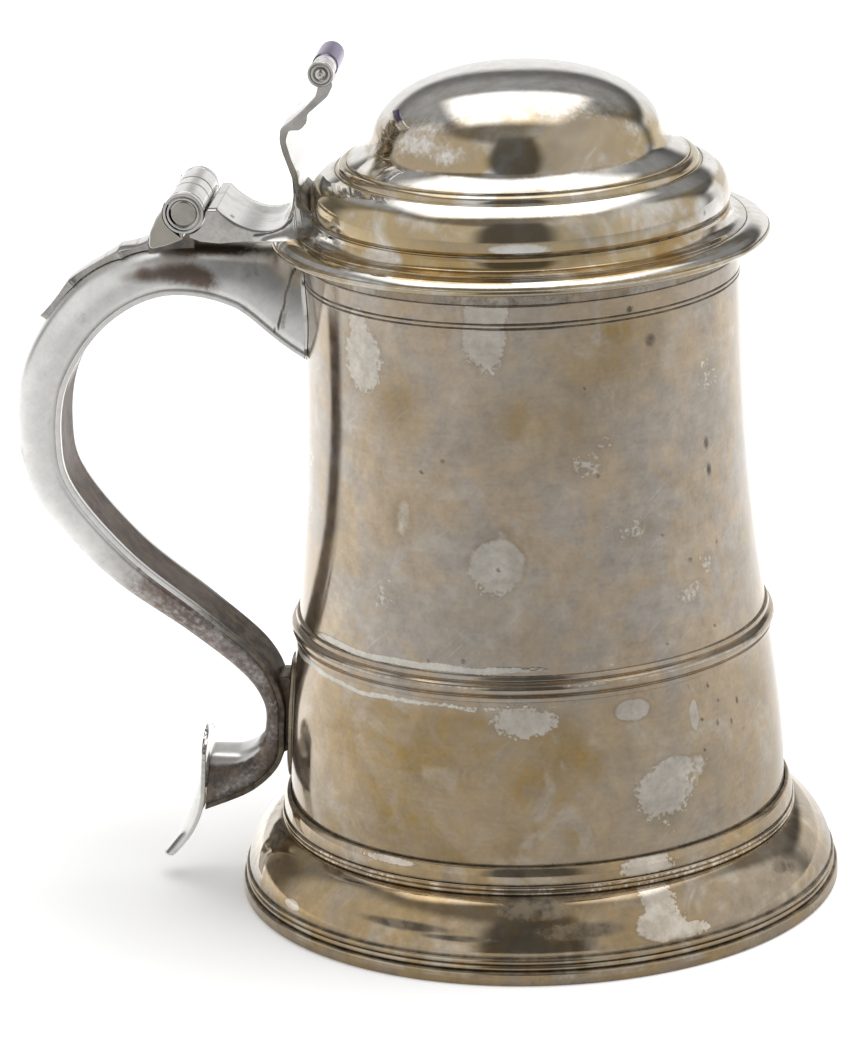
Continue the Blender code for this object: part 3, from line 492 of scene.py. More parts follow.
dress(mid_band, TARNISHED, "tarnished_silver", "body", "mid_band")


# Lid cover: sheet silver raised to a dome over an ovolo and a spreading flange, with fine steps
# turned at the foot of each. It is the best polished part, golden where the film has come back.
def catmull_rom(a, b, c, d, t):
    """Cubic from b to c by the share t that leaves and arrives along the lines a to c and b to d."""
    return 0.5 * (2 * b + (c - a) * t + (2 * a - 5 * b + 4 * c - d) * t ** 2
                  + (3 * b - a - 3 * c + d) * t ** 3)


def flowing(*knots):
    """A smooth line through the given points: a Catmull-Rom curve in four steps a span."""
    held = np.array((knots[0],) + knots + (knots[-1],), float)
    t = np.linspace(0, 1, 4, endpoint=False)[None, :, None]
    curve = catmull_rom(*(held[i:len(knots) - 1 + i, None] for i in range(4)), t)
    return np.concatenate([curve.reshape(-1, held.shape[1]), held[-1:]])


DOME_Z = 173.4
dome = arc(0, DOME_Z, 32.6, 17.5, 90, 11, 60, 2.25)
flare = flowing((32.2, 176.8), (32.7, 175.4), (33.4, 174.2), (34.4, 173.3), (35.6, 172.5), (36.9, 171.8),
                (38.1, 171.25))
bead = np.concatenate([line((38.2, 170.75)), arc(38.35, 169.3, 1.9, 1.55, 84, 8, 12),
                       line((40.25, 169.2), (40.65, 169.15), (40.8, 168.9), (41.1, 169.0))])
ovolo = flowing((41.15, 169.0), (42.2, 168.55), (43.4, 167.95), (44.5, 167.2), (45.4, 166.3), (46.1, 165.2),
                (46.55, 163.9), (46.8, 162.5), (46.85, 161.1), (46.7, 159.9), (46.35, 159.3))
ledge = line((46.35, 159.1), (46.75, 158.95), (46.8, 158.3))
cove = flowing((46.8, 158.2), (47.1, 157.4), (47.5, 156.8), (48.0, 156.4), (48.7, 156.15), (49.5, 156.05),
               (50.3, 156.0))
flange = flowing((50.65, 155.8), (51.6, 155.75), (52.8, 155.5), (53.9, 155.1), (54.7, 154.65), (55.2, 154.2))
hollow = line((54.8, 153.7), (53.9, 152.6), (45.7, 152.6), (45.7, 163.0), (39.6, 168.2))
bowl = arc(0, DOME_Z, 32.6 - WALL, 17.5 - WALL, 0, 90, 32, 2.25)
lid_line = np.concatenate([dome, flare, bead, ovolo, ledge, cove, line((50.4, 155.6)), flange, hollow, bowl])
lid_cover = turned("lid_shell", softened(lid_line, 0.08, closed=False), 0.05, 256, closed=False)
bearing, radius, height = bearings(lid_cover)
turn = np.radians(bearing)
rubbed = patches(lid_cover, [
    (2, 161.0, 4.0, 1.0), (6, 160.8, 4.5, 1.2), (70, 163, 8, 4), (10, 155.6, 7.5, 0.7), (-62, 158, 9, 2)])
on_dome = 0.54 * patches(lid_cover, [(-38, 179.0, 11, 3.6), (-24, 177.6, 7, 3.0), (62, 180.5, 8, 3.0)])
crown = 0.85 * fade(height - 2.5 * np.sin(2 * turn + 0.9), 176, 189)
shoulder = 0.72 * near(height, 168.2, 1.3) * (radius > 41)
collar = 0.8 * near(height, 172.6, 1.6) * (radius < 38.2)
rim = 0.8 * near(radius, 54.3, 0.8)
far_flange = 0.62 * fade(np.abs(bearing), 66, 76) * (height < 158)
paint(lid_cover, "rubbed", np.maximum.reduce([rubbed, on_dome, crown, shoulder, collar, rim, far_flange]))
steps = near(radius, 38.2, 0.12) * (height < 171.1) + near(radius, 40.85, 0.14)
steps = steps + near(radius, 50.45, 0.12) + near(radius, 46.4, 0.1) * (height < 159.6)
paint(lid_cover, "soil_and_painted_shade", 0.9 * steps)
paint(lid_cover, "gilt", 0.6 * fade(height, 162, 159) + 0.3 * np.sin(2 * turn - 0.6) ** 2)
# Polished sterling with a thin golden film, clear enough to mirror the room
GILDED = sterling("sterling with a golden film", "#E6E4E0", ("#C0AE8B", "#B6AA97", "#AA8B52"),
                  0.80, 0.045, 0.25)
dress(lid_cover, GILDED, "tarnished_silver", "lid", "lid_cover")

# Lid rim: a half-round wire soldered round the flange's edge to stiffen it, bright from wear on its
# crest and dirty along its joint.
rim_line = np.concatenate([arc(54.5, 153.45, 1.2, 0.85, 90, -90, 20), line((53.8, 152.6), (53.8, 154.3))])
lid_rim = turned("lid_rim", softened(rim_line, 0.08), 0.05)
_, _, height = bearings(lid_rim)
paint(lid_rim, "soil_and_painted_shade", 0.7 * near(height, 154.1, 0.12) + 0.5 * np.exp((152.7 - height) / 0.3))
paint(lid_rim, "rubbed", 0.5 * near(height, 153.8, 0.25))
dress(lid_rim, GILDED, "polished_silver", "lid", "lid_rim_wire")

# Bezel: a ring of strip silver soldered under the cover, which drops inside the mouth of the barrel
# and centres the lid.
bezel_line = line((45.4, 153.6), (45.4, MOUTH_Z), (46.9, MOUTH_Z), (46.9, 149.5), (45.9, 149.5),
                  (45.9, 151.3), (44.4, 151.3), (44.4, 153.6))
lid_bezel = turned("bezel_ring", softened(bezel_line, 0.15), columns=240)
dress(lid_bezel, DULL, "aged_silver", "lid", "lid_bezel")

# Hinge knuckles: three lengths of drawn tube, the outer two on the handle's bracket and a narrow
# one on the lid's leaf, worn bright, with a ring turned near each end.
HINGE_X, HINGE_Z = -73.8, 161.4
KNUCKLE_RADIUS, KNUCKLE_BORE = 4.6, 1.7
# Sterling rubbed bright by handling: neutral and clear, with only a thin grey film in hollows
RUBBED = sterling("sterling rubbed bright", "#DAD8D4", ("#B0ADA5", "#A19E98", "#B5A688"), 0.20, 0.09, 0.3)


def on_pin(name, profile, centre_x=HINGE_X, centre_z=HINGE_Z, closed=True):
    """A profile of radius and distance along Y, spun about a line along Y through the given place."""
    angle = np.linspace(0, 2 * np.pi, 96, endpoint=False)[None, :]
    r, along = profile[:, :1], profile[:, 1:]
    grid = np.stack([centre_x + r * np.cos(angle), along + 0 * angle, centre_z + r * np.sin(angle)], axis=-1)
    return surface(name, grid, closed_rows=closed)


tube = line(
    (KNUCKLE_BORE, 3.05), (KNUCKLE_BORE, 13.0), (3.95, 13.0), (3.95, 13.3), (KNUCKLE_RADIUS, 13.3),
    (KNUCKLE_RADIUS, 11.55), (4.48, 11.4), (4.48, 11.2), (KNUCKLE_RADIUS, 11.05), (KNUCKLE_RADIUS, 3.05))
for name, facing in (("hinge_knuckle_near", -1), ("hinge_knuckle_far", 1)):
    knuckle = on_pin(name + "_tube", softened(tube * (1, facing), 0.14))
    along = np.abs(points_of(knuckle)[:, 1])
    paint(knuckle, "soil_and_painted_shade", 0.9 * near(along, 11.3, 0.15) + 0.9 * np.exp((3.1 - along) / 0.2))
    dress(knuckle, RUBBED, "polished_silver", "body", name)
middle = line((KNUCKLE_BORE, -2.6), (KNUCKLE_BORE, 2.6), (KNUCKLE_RADIUS, 2.6), (KNUCKLE_RADIUS, -2.6))
middle_knuckle = on_pin("hinge_knuckle_middle", softened(middle, 0.14))
dress(middle_knuckle, RUBBED, "polished_silver", "lid", "hinge_knuckle_lid")

# Hinge pin: drawn wire through the three knuckles, seen only at the gaps between them, and never
# polished.
pin_line = softened(line((0, 12.3), (1.5, 12.3), (1.5, -12.3), (0, -12.3)), 0.2, closed=False)
dress(on_pin("hinge_pin_wire", pin_line, closed=False), DULL, "aged_silver", "body", "hinge_pin")

# Hinge caps: discs set into the ends of the outer knuckles to keep the pin in, each with a turned
# ring and a dirty groove round it.
cap_line = line((0, 13.28), (2.6, 13.3), (2.85, 13.12), (3.05, 13.12), (3.25, 13.4), (3.6, 13.42),
                (3.7, 13.2), (3.7, 12.6), (0, 12.6))
for name, facing in (("hinge_cap_near", -1), ("hinge_cap_far", 1)):
    disc = on_pin(name + "_disc", softened(cap_line * (1, facing), 0.1, closed=False), closed=False)
    x, _, z = points_of(disc).T
    out = np.hypot(x - HINGE_X, z - HINGE_Z)
    paint(disc, "soil_and_painted_shade", near(out, 2.95, 0.12) + fade(out, 3.6, 3.7))
    paint(disc, "film", 0.55 * fade(out, 2.9, 2.7))
    dress(disc, RUBBED, "polished_silver", "body", name)


# Hinge leaf: a saddle of thick silver between the cover and the middle knuckle, filed bright on top,
# with a thin raised edge and grey sides. It carries the thumbpiece.
def slab(name, outline, half_width, edge):
    """A side outline of x and z carried across Y between minus and plus half_width, which may differ
    from point to point. The outline draws in by a quarter circle of the edge radius at both ends."""
    ahead = np.roll(outline, -1, axis=0) - np.roll(outline, 1, axis=0)
    normal = np.column_stack([ahead[:, 1], -ahead[:, 0]]) / np.hypot(*ahead.T)[:, None]
    area = np.sum(outline[:, 0] * np.roll(outline[:, 1], -1) - outline[:, 1] * np.roll(outline[:, 0], -1))
    normal = normal * np.sign(area)
    quarter = np.radians(np.linspace(0, 90, 6))
    drawn = np.concatenate([[edge * 1.3], edge * (1 - np.sin(quarter))])
    short = np.concatenate([[0], edge * (1 - np.cos(quarter))])
    drawn, short = np.append(drawn, drawn[::-1]), np.append(short, short[::-1])
    facing = np.repeat([-1.0, 1.0], 7)
    ring = outline[None] - normal[None] * drawn[:, None, None]
    across = facing[:, None] * (np.broadcast_to(half_width, len(outline))[None] - short[:, None])
    grid = np.stack([ring[..., 0], across, ring[..., 1]], axis=-1)
    return surface(name, grid, caps=True)


def looped(outline, step):
    """A closed outline with points added so that no step is longer than the given length."""
    return stepped(np.concatenate([outline, outline[:1]]), step)[:-1]


def eased(outline, step, turns):
    """A closed outline in even steps, each point moved so many times to the mean of its neighbours."""
    even = looped(outline, step)
    for _ in range(turns):
        even = (np.roll(even, 1, axis=0) + 2 * even + np.roll(even, -1, axis=0)) / 4
    return even


def ended(grid):
    """A grid with a row at each end that lies all in the middle of the end row, to close it."""
    ends = np.broadcast_to(grid[[0, -1]].mean(axis=1, keepdims=True), (2,) + grid.shape[1:])
    return np.concatenate([ends[:1], grid, ends[1:]])


def wrapped(piece):
    """Bends the last 6 mm of a piece towards the lid round the barrel's axis, by the sag of a circle."""
    points = points_of(piece)
    sag = LIP_RADIUS - np.sqrt(LIP_RADIUS ** 2 - points[:, 1] ** 2)
    points[:, 0] += sag * fade(points[:, 0], -55, -49) * fade(points[:, 2], 176, 168)
    piece.data.vertices.foreach_set("co", (points * MM + (AXIS_X, 0, 0)).ravel())
    piece.data.update()


socket = arc(HINGE_X, HINGE_Z, 5.0, 5.0, -76, 2, 12)
saddle = flowing((-66.5, 162.0), (-64.6, 160.1), (-61.9, 158.2), (-59.0, 157.05), (-56.4, 156.75),
                 (-54.3, 157.05), (-52.6, 158.0), (-51.4, 159.6), (-50.7, 161.6), (-50.3, 163.8),
                 (-50.1, 165.6))
heel = flowing((-48.9, 166.0), (-48.2, 165.2), (-47.3, 164.2), (-46.5, 163.0))
top = stepped(np.concatenate([socket, line((-68.4, 162.0)), saddle, heel]), 0.25)
along, crest = top[:, :1], top[:, 1:]
sole = np.interp(along, [-72.6, -70, -66, -61, -57, -54, -47.6, -46.4],
                 [155.9, 154.9, 154.45, 154.8, 155.0, 155.1, 155.5, 156.0])
LEAF_HALF = 13
lidward = fade(along, -59, -52)
waist = np.interp(crest, [156.9, 158, 160, 162, 164, 166], [13, 12.7, 11.9, 11, 10.2, 9.6])
crest_half = LEAF_HALF + (waist - LEAF_HALF) * lidward
sole_half = LEAF_HALF + 2.6 * lidward
climb = np.append(np.linspace(0, 0.97, 14), 0.985)[None, :]
across = np.linspace(-1, 1, 11)[None, :]
droop = 2.6 * fade(along, -50.4, -48.8)
flank = crest_half + (sole_half - crest_half) * (1 - climb) ** 1.7
flank_z = sole + (crest - droop - sole) * climb
saddle_z = crest - droop * np.abs(across) ** 3
leaf_y = np.hstack([-flank, (crest_half - 0.12) * across, flank[:, ::-1], -sole_half * across[:, 1:-1]])
leaf_z = np.hstack([flank_z, saddle_z, flank_z[:, ::-1], sole + 0 * across[:, 1:-1]])
hinge_leaf = surface("hinge_leaf", ended(np.stack([along + 0 * leaf_y, leaf_y, leaf_z], axis=-1)))
wrapped(hinge_leaf)
x, y, z = points_of(hinge_leaf).T
foot_dirt = 0.75 * fade(x, -51, -48) * fade(np.abs(y), 9.4, 10.2) * fade(z, 163, 157)
foot_dirt = np.maximum(foot_dirt, 0.9 * fade(x, -49.2, -48.6) * (np.abs(y) < 10.5))
for pit_x, pit_y, half_x, half_y in (
        (-56.0, -6.5, 1.6, 0.5), (-58.6, -3.0, 0.8, 0.4), (-61.5, 3.5, 1.3, 0.35), (-54.4, 1.5, 0.7, 1.0),
        (-63.6, -8.0, 0.6, 1.2)):
    pit = 0.5 ** (((x - pit_x) / half_x) ** 2 + ((y - pit_y) / half_y) ** 2)
    foot_dirt = np.maximum(foot_dirt, 0.8 * pit)
paint(hinge_leaf, "soil_and_painted_shade", foot_dirt)
paint(hinge_leaf, "film", np.maximum(0.4 * fade(x, -52, -49), 0.42 * (np.abs(y) > 12.6)))
dress(hinge_leaf, RUBBED, "polished_silver", "lid", "lid_hinge_leaf")

# Hinge bracket: a wedge filed from thick silver under the outer knuckles, on a low plinth that is
# soldered to the top of the handle. Its ends are flush with the knuckles.
hug = arc(HINGE_X, HINGE_Z, 4.2, 4.2, 142, 264, 12)
wedge = line((-73.9, 155.5), (-77.6, 154.1), (-81.2, 153.3), (-81.95, 153.9), (-81.6, 157.0), (-80.0, 160.4))
BRACKET_HALF = 13.25
hinge_bracket = slab("hinge_bracket", eased(np.concatenate([hug, wedge]), 0.3, 4), BRACKET_HALF, 0.45)
end_faces = np.abs(points_of(hinge_bracket)[:, 1]) > BRACKET_HALF - 0.05
paint(hinge_bracket, "film", 0.55 * end_faces)
dress(hinge_bracket, RUBBED, "polished_silver", "body", "handle_hinge_bracket")
plinth = line((-81.6, 153.3), (-76, 154.7), (-73.2, 155.6), (-72.6, 154.0), (-72.6, 150.0), (-83.4, 149.6),
              (-83.2, 151.9))
bracket_plinth = slab("bracket_plinth", eased(plinth, 0.4, 6), 6.4, 0.4)
paint(bracket_plinth, "soil_and_painted_shade", 0.7)
dress(bracket_plinth, RUBBED, "polished_silver", "body", "handle_hinge_bracket")


# Thumbpiece: cast silver, a thin stem with a knee and an arm that curls over into a roll. The stem
# and arm are one bowed strap, wider towards the roll.
def thumb_half(height):
    """Half width of the strap, drawn at four heights."""
    return np.interp(height, [161, 176, 181, 188], [9.6, 9.9, 10.4, 11.5])


stem_back = line((-50.1, 161.0), (-50.3, 168.3), (-50.9, 171.2), (-51.6, 174.1), (-52.0, 177.0),
                 (-51.7, 179.6), (-49.3, 181.4), (-46.1, 184.2), (-43.4, 187.0), (-42.8, 189.0),
                 (-42.4, 191.0))
stem_front = line((-39.9, 191.0), (-39.4, 189.5), (-40.7, 187.0), (-42.9, 185.1), (-45.5, 182.9),
                  (-45.7, 180.9), (-47.2, 179.3), (-49.8, 179.2), (-50.6, 176.9), (-49.9, 172.4),
                  (-49.2, 169.8), (-48.75, 161.0))
thumb_line = eased(np.concatenate([stem_back, stem_front]), 0.3, 4)
thumb_strap = slab("thumb_strap", thumb_line, thumb_half(thumb_line[:, 1]), 0.16)
wrapped(thumb_strap)
_, y, z = points_of(thumb_strap).T
side_face = np.abs(y) > thumb_half(z) - 0.12
# The strap's flat sides are darker, most low on the stem, and the stem darkens towards its foot.
darker_sides = np.interp(z, [168, 176, 181], [0.62, 0.56, 0.44]) * side_face
paint(thumb_strap, "soil_and_painted_shade", darker_sides + 0.5 * np.exp((165 - z) / 1.2) * (z > 165))
dress(thumb_strap, RUBBED, "polished_silver", "lid", "thumbpiece")

# Thumb roll: the end of the casting, shaped as if turned, with rings and a pellet on its near end
# and two lines beside them, stained violet by heat on its far half.
ROLL_X, ROLL_Z, ROLL_RADIUS = -42.0, 192.1, 2.93
disc = line((0, -12.25), (0.7, -12.2), (1.2, -11.9), (1.3, -11.5), (1.6, -11.4), (1.75, -11.6),
            (2.2, -11.55), (2.35, -11.75), (2.6, -12.1), (2.8, -12.1), (ROLL_RADIUS, -11.8),
            (ROLL_RADIUS, -10.7), (2.8, -10.4), (2.6, -10.2), (2.6, -9.0), (2.45, -8.8), (2.6, -8.6),
            (2.6, -7.4), (2.45, -7.2), (2.62, -7.0), (2.66, -3.4), (2.9, -3.0))
drum = np.concatenate([
    line((ROLL_RADIUS, -2.0), (ROLL_RADIUS, 9.0)), arc(0, 9.6, ROLL_RADIUS, 2.7, 0, 90, 12)])
roll_line = softened(np.concatenate([disc, drum]), 0.14, closed=False)
thumb_roll = on_pin("thumb_roll", roll_line, ROLL_X, ROLL_Z, closed=False)
x, along, z = points_of(thumb_roll).T
out = np.hypot(x - ROLL_X, z - ROLL_Z)
rings = near(along, -8.8, 0.15) + near(along, -7.2, 0.15) + near(along, -10.3, 0.2)
ends = near(out, 1.45, 0.2) + near(out, 2.25, 0.15) + near(out, 0, 0.3)
paint(thumb_roll, "soil_and_painted_shade", 0.8 * rings + 0.8 * ends * (along < -11))
paint(thumb_roll, "film", fade(along, -4.5, -2.5))
# Sterling with the violet and grey film that heat leaves, still glossy
STAINED = sterling("sterling stained violet", "#DAD8D4", ("#61507C", "#544B63", "#4A474E"), 0.0, 0.14, 0.3)
dress(thumb_roll, STAINED, "polished_silver", "lid", "thumbpiece")

# Handle back: sheet silver beaten into a long half-round trough and bent to a scroll. Bright where
# the hand holds it, brown over the top and towards the tail. A painted shadow lies under the hinge
# bracket and leaf, and towards the tail dirt and painted shade darken it.
HANDLE_LINE = np.array([
    (-0.9, 114.9, 24.6), (12.3, 121.1, 13.5), (30.4, 122.4, 10.4), (46.1, 114.8, 11.0), (56.4, 99.3, 11.2),
    (58.0, 82.6, 11.0), (53.8, 69.2, 10.5), (39.0, 52.6, 9.2), (21.1, 39.0, 7.7), (8.5, 28.4, 7.0),
    (3.4, 20.1, 5.4), (2.6, 12.6, 4.8), (3.9, 6.6, 6.6), (9.5, 2.2, 9.0), (17.8, 0.0, 13.0)])
HANDLE_LOW, HANDLE_RISE, HANDLE_GAP = 24.4, 116.8, 1.5
HANDLE_ENDS = 0.08
SHEET = 1.25


def handle_frames(share):
    """Middle, outward normal, depth and width of the handle at shares of the way along it: a
    Catmull-Rom curve through the drawn line, measured out from the barrel's slanting side."""
    knots = np.concatenate([[2 * HANDLE_LINE[0] - HANDLE_LINE[1]], HANDLE_LINE,
                            [2 * HANDLE_LINE[-1] - HANDLE_LINE[-2]]])

    def curve(position):
        begin = np.minimum(position.astype(int), len(HANDLE_LINE) - 2)
        drawn = catmull_rom(*(knots[begin + i] for i in range(4)), (position - begin)[:, None])
        low, high = barrel_radius(HANDLE_LOW), barrel_radius(HANDLE_LOW + HANDLE_RISE)
        x = -(low + (high - low) * drawn[:, 1] / HANDLE_RISE + HANDLE_GAP + drawn[:, 0])
        return np.column_stack([x, HANDLE_LOW + drawn[:, 1]]), drawn[:, 2]

    last = len(HANDLE_LINE) - 1
    centre, depth = curve(share * last)
    ahead = curve(np.minimum(share * last + 0.02, last))[0]
    along = ahead - curve(np.maximum(share * last - 0.02, 0))[0]
    along = along / np.hypot(*along.T)[:, None]
    square = np.maximum(fade(share, HANDLE_ENDS, 0), fade(share, 1 - HANDLE_ENDS, 1))[:, None]
    upright = np.column_stack([np.where(share > 0.5, 0.12, 0.0), np.ones(len(share))])
    outward = np.column_stack([along[:, 1], -along[:, 0]]) * (1 - square) + upright * square
    outward = outward / np.hypot(*outward.T)[:, None]
    return centre, outward, depth, 22.0 - 8.0 * np.minimum(1, 1.4 * share)


def along_handle(name, share, sections):
    """A closed section of y and height above the middle line for each share, carried along the
    handle. Its upper end bends round the barrel, and both ends are closed at their middles."""
    centre, outward, _, _ = handle_frames(share)
    y, rise = sections[..., 0], sections[..., 1]
    saddle = fade(share, HANDLE_ENDS, 0)[:, None]
    reach = LIP_RADIUS + HANDLE_GAP
    sag = saddle * (reach - np.sqrt(reach ** 2 - np.clip(y, -30, 30) ** 2))
    grid = np.stack([centre[:, :1] + outward[:, :1] * rise + sag, y,
                     centre[:, 1:] + outward[:, 1:] * rise], axis=-1)
    return surface(name, ended(grid))


def handle_shares(piece):
    """Share of the way along the handle of each of a piece's points, from the nearest middle point;
    the points themselves; and their height above the middle line in half depths."""
    points = points_of(piece)
    marks = np.linspace(0, 1, 400)
    frames = handle_frames(marks)
    middles = frames[0]
    gap = (points[:, None, 0] - middles[None, :, 0]) ** 2 + (points[:, None, 2] - middles[None, :, 1]) ** 2
    nearest = np.argmin(gap, axis=1)
    speed = np.gradient(middles, marks, axis=0)[nearest]
    middle, outward, depth, _ = (part[nearest] for part in frames)
    off = points[:, [0, 2]] - middle
    rise = np.sum(off * outward, axis=1) / (depth / 2)
    past = np.sum(off * speed, axis=1) / np.sum(speed ** 2, axis=1)
    return marks[nearest] + np.clip(past, -0.002, 0.002), points, rise


share = np.append(np.linspace(0, 0.045, 70), np.linspace(0.045, 1, 250)[1:])
_, _, depth, width = handle_frames(share)
turn = np.radians(np.linspace(180, 0, 49))[None, :]
power = np.interp(share, [0, 0.1, 0.6, 0.75, 0.9, 1], [2.4, 3.0, 3.0, 3.0, 4.0, 4.5])[:, None]
floor = (SHEET - depth / 2)[:, None]
back_y = (width / 2)[:, None] * np.sign(np.cos(turn)) * np.abs(np.cos(turn)) ** (2 / power)
back_n = floor + (depth[:, None] / 2 - 0.02 - floor) * np.abs(np.sin(turn)) ** (2 / power)
shut_y = (width / 2)[:, None] * np.linspace(1, -1, 9)[None, 1:-1]
section = np.stack([np.hstack([back_y, shut_y]), np.hstack([back_n, floor + 0 * shut_y])], axis=-1)
handle_shell = along_handle("handle_shell", share, section)
place, points, rise = handle_shares(handle_shell)
level = np.interp(place, [0.085, 0.115, 0.150, 0.190], [-0.36, -0.14, 0.08, 0.42])
patch_half = np.interp(place, [0.07, 0.09, 0.12, 0.19], [0.24, 0.52, 0.66, 0.34])
crown = fade(place, 0.070, 0.100) * fade(place, 0.205, 0.155) * (points[:, 1] < 4)
crown = 0.72 * crown * 0.5 ** (((rise - level) / patch_half) ** 2)
# Painted shadow under the hinge bracket and leaf, laid into the film field
shaded = 0.8 * near(place, 0.095, 0.045) * fade(rise, 0.45, 0.85)
tail = fade(place, 0.40, 0.54)
top_face = fade(rise, 0.55, 0.80) * fade(place, 0.84, 0.88)
past_seam = place - 0.005 - 0.011 * (1 + rise) - 0.0016 * np.sin(5 * rise) - 0.0006 * np.sin(17 * rise)
stain = 0.52 * near(past_seam, -0.004, 0.006) * near(rise, -0.35, 0.45)
paint(handle_shell, "film", np.clip(crown + shaded + stain + 0.62 * tail, 0, 1) * (1 - 0.75 * top_face))
# Dirt along the seam; towards the tail the darkening is partly dirt and partly painted shade on the handle's
# underside
dirt_with_painted_shade = 1.2 * near(past_seam, 0, 0.0016) + 0.52 * fade(place, 0.60, 0.70)
paint(handle_shell, "soil_and_painted_shade", np.clip(dirt_with_painted_shade, 0, 1) * (1 - top_face))
paint(handle_shell, "gilt", 0.9 * fade(past_seam, 0.0016, -0.0024))
# Sterling kept bright by the hand, satin from fine scratches, under a brown film where none holds it
HANDLED = sterling("sterling bright from handling", "#F0EFEC", ("#80706A", "#776C68", "#8C7654"),
                   0.12, 0.33, 0.35)
dress(handle_shell, HANDLED, "aged_silver", "body", "handle_back")


# Handle strip: a flat strip of silver that closes the trough on the side facing the barrel, brown
# and dirty between its bright edges, and towards the tail brown and dark with dirt and painted shade.
def ribbon(low, high, radius, step):
    """Section of a flat ribbon between two heights: y in shares of its half width, and the height.
    Its corners are rounded as on a ribbon 16 mm wide."""
    section = looped(softened(line((-8, low), (8, low), (8, high), (-8, high)), radius), step)
    return section[None, :, 0] / 8, section[None, :, 1]


over = width / 2 + 0.12
strip_u, strip_up = ribbon(-0.6, 0.6, 0.25, 0.6)
strip_section = np.stack([strip_u * over[:, None], strip_up + (0.6 - depth / 2)[:, None]], axis=-1)
handle_strip = along_handle("handle_strip", share, strip_section)
place, points, _ = handle_shares(handle_strip)
rim_y = np.interp(place, share, over) - 1.1
inner = fade(place, 0.22, 0.30) * fade(np.abs(points[:, 1]) - rim_y, 0, -0.3)
# Towards the tail: brown film, and a darkening that is partly dirt and partly painted shade on this
# underside
paint(handle_strip, "film", np.clip(0.85 * inner + 0.8 * fade(place, 0.55, 0.70), 0, 1))
paint(handle_strip, "soil_and_painted_shade", np.maximum(0.5 * inner, 0.9 * fade(place, 0.50, 0.62)))
dress(handle_strip, HANDLED, "aged_silver", "body", "handle_inner_strip")


# Handle plates: thin ovals of sheet silver between the barrel and the two ends of the handle, which
# spread the load of the joints. A small pad fills the lower joint.
def barrel_plate(name, level, height, width):
    """An oval laid on the barrel: its profile of share of the radius and height above the wall is
    turned about the oval's middle and wrapped on the barrel's side at -X."""
    rim = softened(line((0, 0.95), (0.93, 0.95), (0.99, 0.7), (1.0, 0.1), (0, 0.1)), 0.02, closed=False)
    rim = stepped(rim, 0.08)
    angle = np.linspace(0, 2 * np.pi, 96, endpoint=False)[None, :]
    y = rim[:, :1] * np.cos(angle) * width / 2
    z = level + rim[:, :1] * np.sin(angle) * height / 2
    wall = barrel_radius(z) + rim[:, 1:]
    return surface(name, np.stack([-np.sqrt(wall ** 2 - y ** 2), y, z], axis=-1))


upper_plate = barrel_plate("upper_plate", 136.5, 25.0, 27.0)
dress(upper_plate, RUBBED, "polished_silver", "body", "handle_upper_plate")
pad_z = np.linspace(31.0, 49.6, 9)
pad_wall = -barrel_radius(pad_z)
pad_back = np.column_stack([pad_wall - 3.0 - 1.4 * ((pad_z - 41) / 10) ** 2, pad_z])
pad_line = np.concatenate([np.column_stack([pad_wall - 0.5, pad_z]), pad_back[::-1]])
joint_pad = slab("joint_pad", eased(pad_line, 0.4, 14), 4.2, 0.3)
paint(joint_pad, "soil_and_painted_shade", 0.55)
dress(joint_pad, DULL, "aged_silver", "body", "handle_patch_plate")
patch_plate = barrel_plate("patch_plate", 39.1, 30.0, 18.0)
dress(patch_plate, DULL, "aged_silver", "body", "handle_patch_plate")

# Handle drop: a strap of thick silver with a cusped outline, soldered down the handle's back behind
# the hinge. It is scooped between its cusps, and its tip lies low on the handle. Dark bars across it
# are painted reflections.
STRAP_START, STRAP_LENGTH = 0.149, 0.106
CUSPS = (0.23, 0.66)
way = np.linspace(0, 1, 141)
strap_share = STRAP_START + STRAP_LENGTH * way
centre, outward, depth, width = handle_frames(strap_share)
cusps = sum(np.exp(-np.abs(way - cusp) / 0.025) for cusp in CUSPS)
first_bay = np.sin(np.pi * way / CUSPS[0]) * (way < CUSPS[0])
middle_bay = np.sin(np.pi * fade(way, *CUSPS))
last_bay = np.sin(np.pi * fade(way, CUSPS[1], 1))
dips = 0.5 * np.abs(first_bay) + 0.9 * middle_bay - 0.5 * last_bay
tip = np.sqrt(np.clip((1.004 - way) / 0.05, 0.02, 1))
strap_half = (5.6 - 3.5 * way + 0.6 * cusps - 0.7 * dips) * tip
strap_u, strap_up = ribbon(0, 1.7, 0.35, 0.8)
strap_y = strap_u * strap_half[:, None]
round_off = fade(np.abs(strap_y / (width / 2)[:, None]) ** 2.4, 1, 0) ** (1 / 2.4)
hump = (depth - SHEET)[:, None] * (0.35 + 0.65 * round_off)
lift = 0.25 - 0.45 * fade(way, 0.6, 1.0)
thick = 1.05 - 0.34 * (first_bay + middle_bay + last_bay)
strap_n = (SHEET - depth / 2 + lift)[:, None] + hump + strap_up * thick[:, None]
strap_grid = np.stack([centre[:, :1] + outward[:, :1] * strap_n, strap_y,
                       centre[:, 1:] + outward[:, 1:] * strap_n], axis=-1)
handle_drop = surface("handle_strap", ended(strap_grid))
place, points, _ = handle_shares(handle_drop)
half_there = np.interp(place, strap_share, strap_half)
strap_side = fade(np.abs(points[:, 1]) - half_there, -0.5, -0.25)
# Dark bars across the strap: painted reflections, as of small facets
painted_facet_reflections = sum(near(place, STRAP_START + STRAP_LENGTH * bar, 0.0026) for bar in (0.10, 0.23, 0.34, 0.47, 0.66))
paint(handle_drop, "soil_and_painted_shade", np.maximum(0.50 * strap_side, 0.42 * painted_facet_reflections))
dress(handle_drop, RUBBED, "polished_silver", "body", "handle_drop")

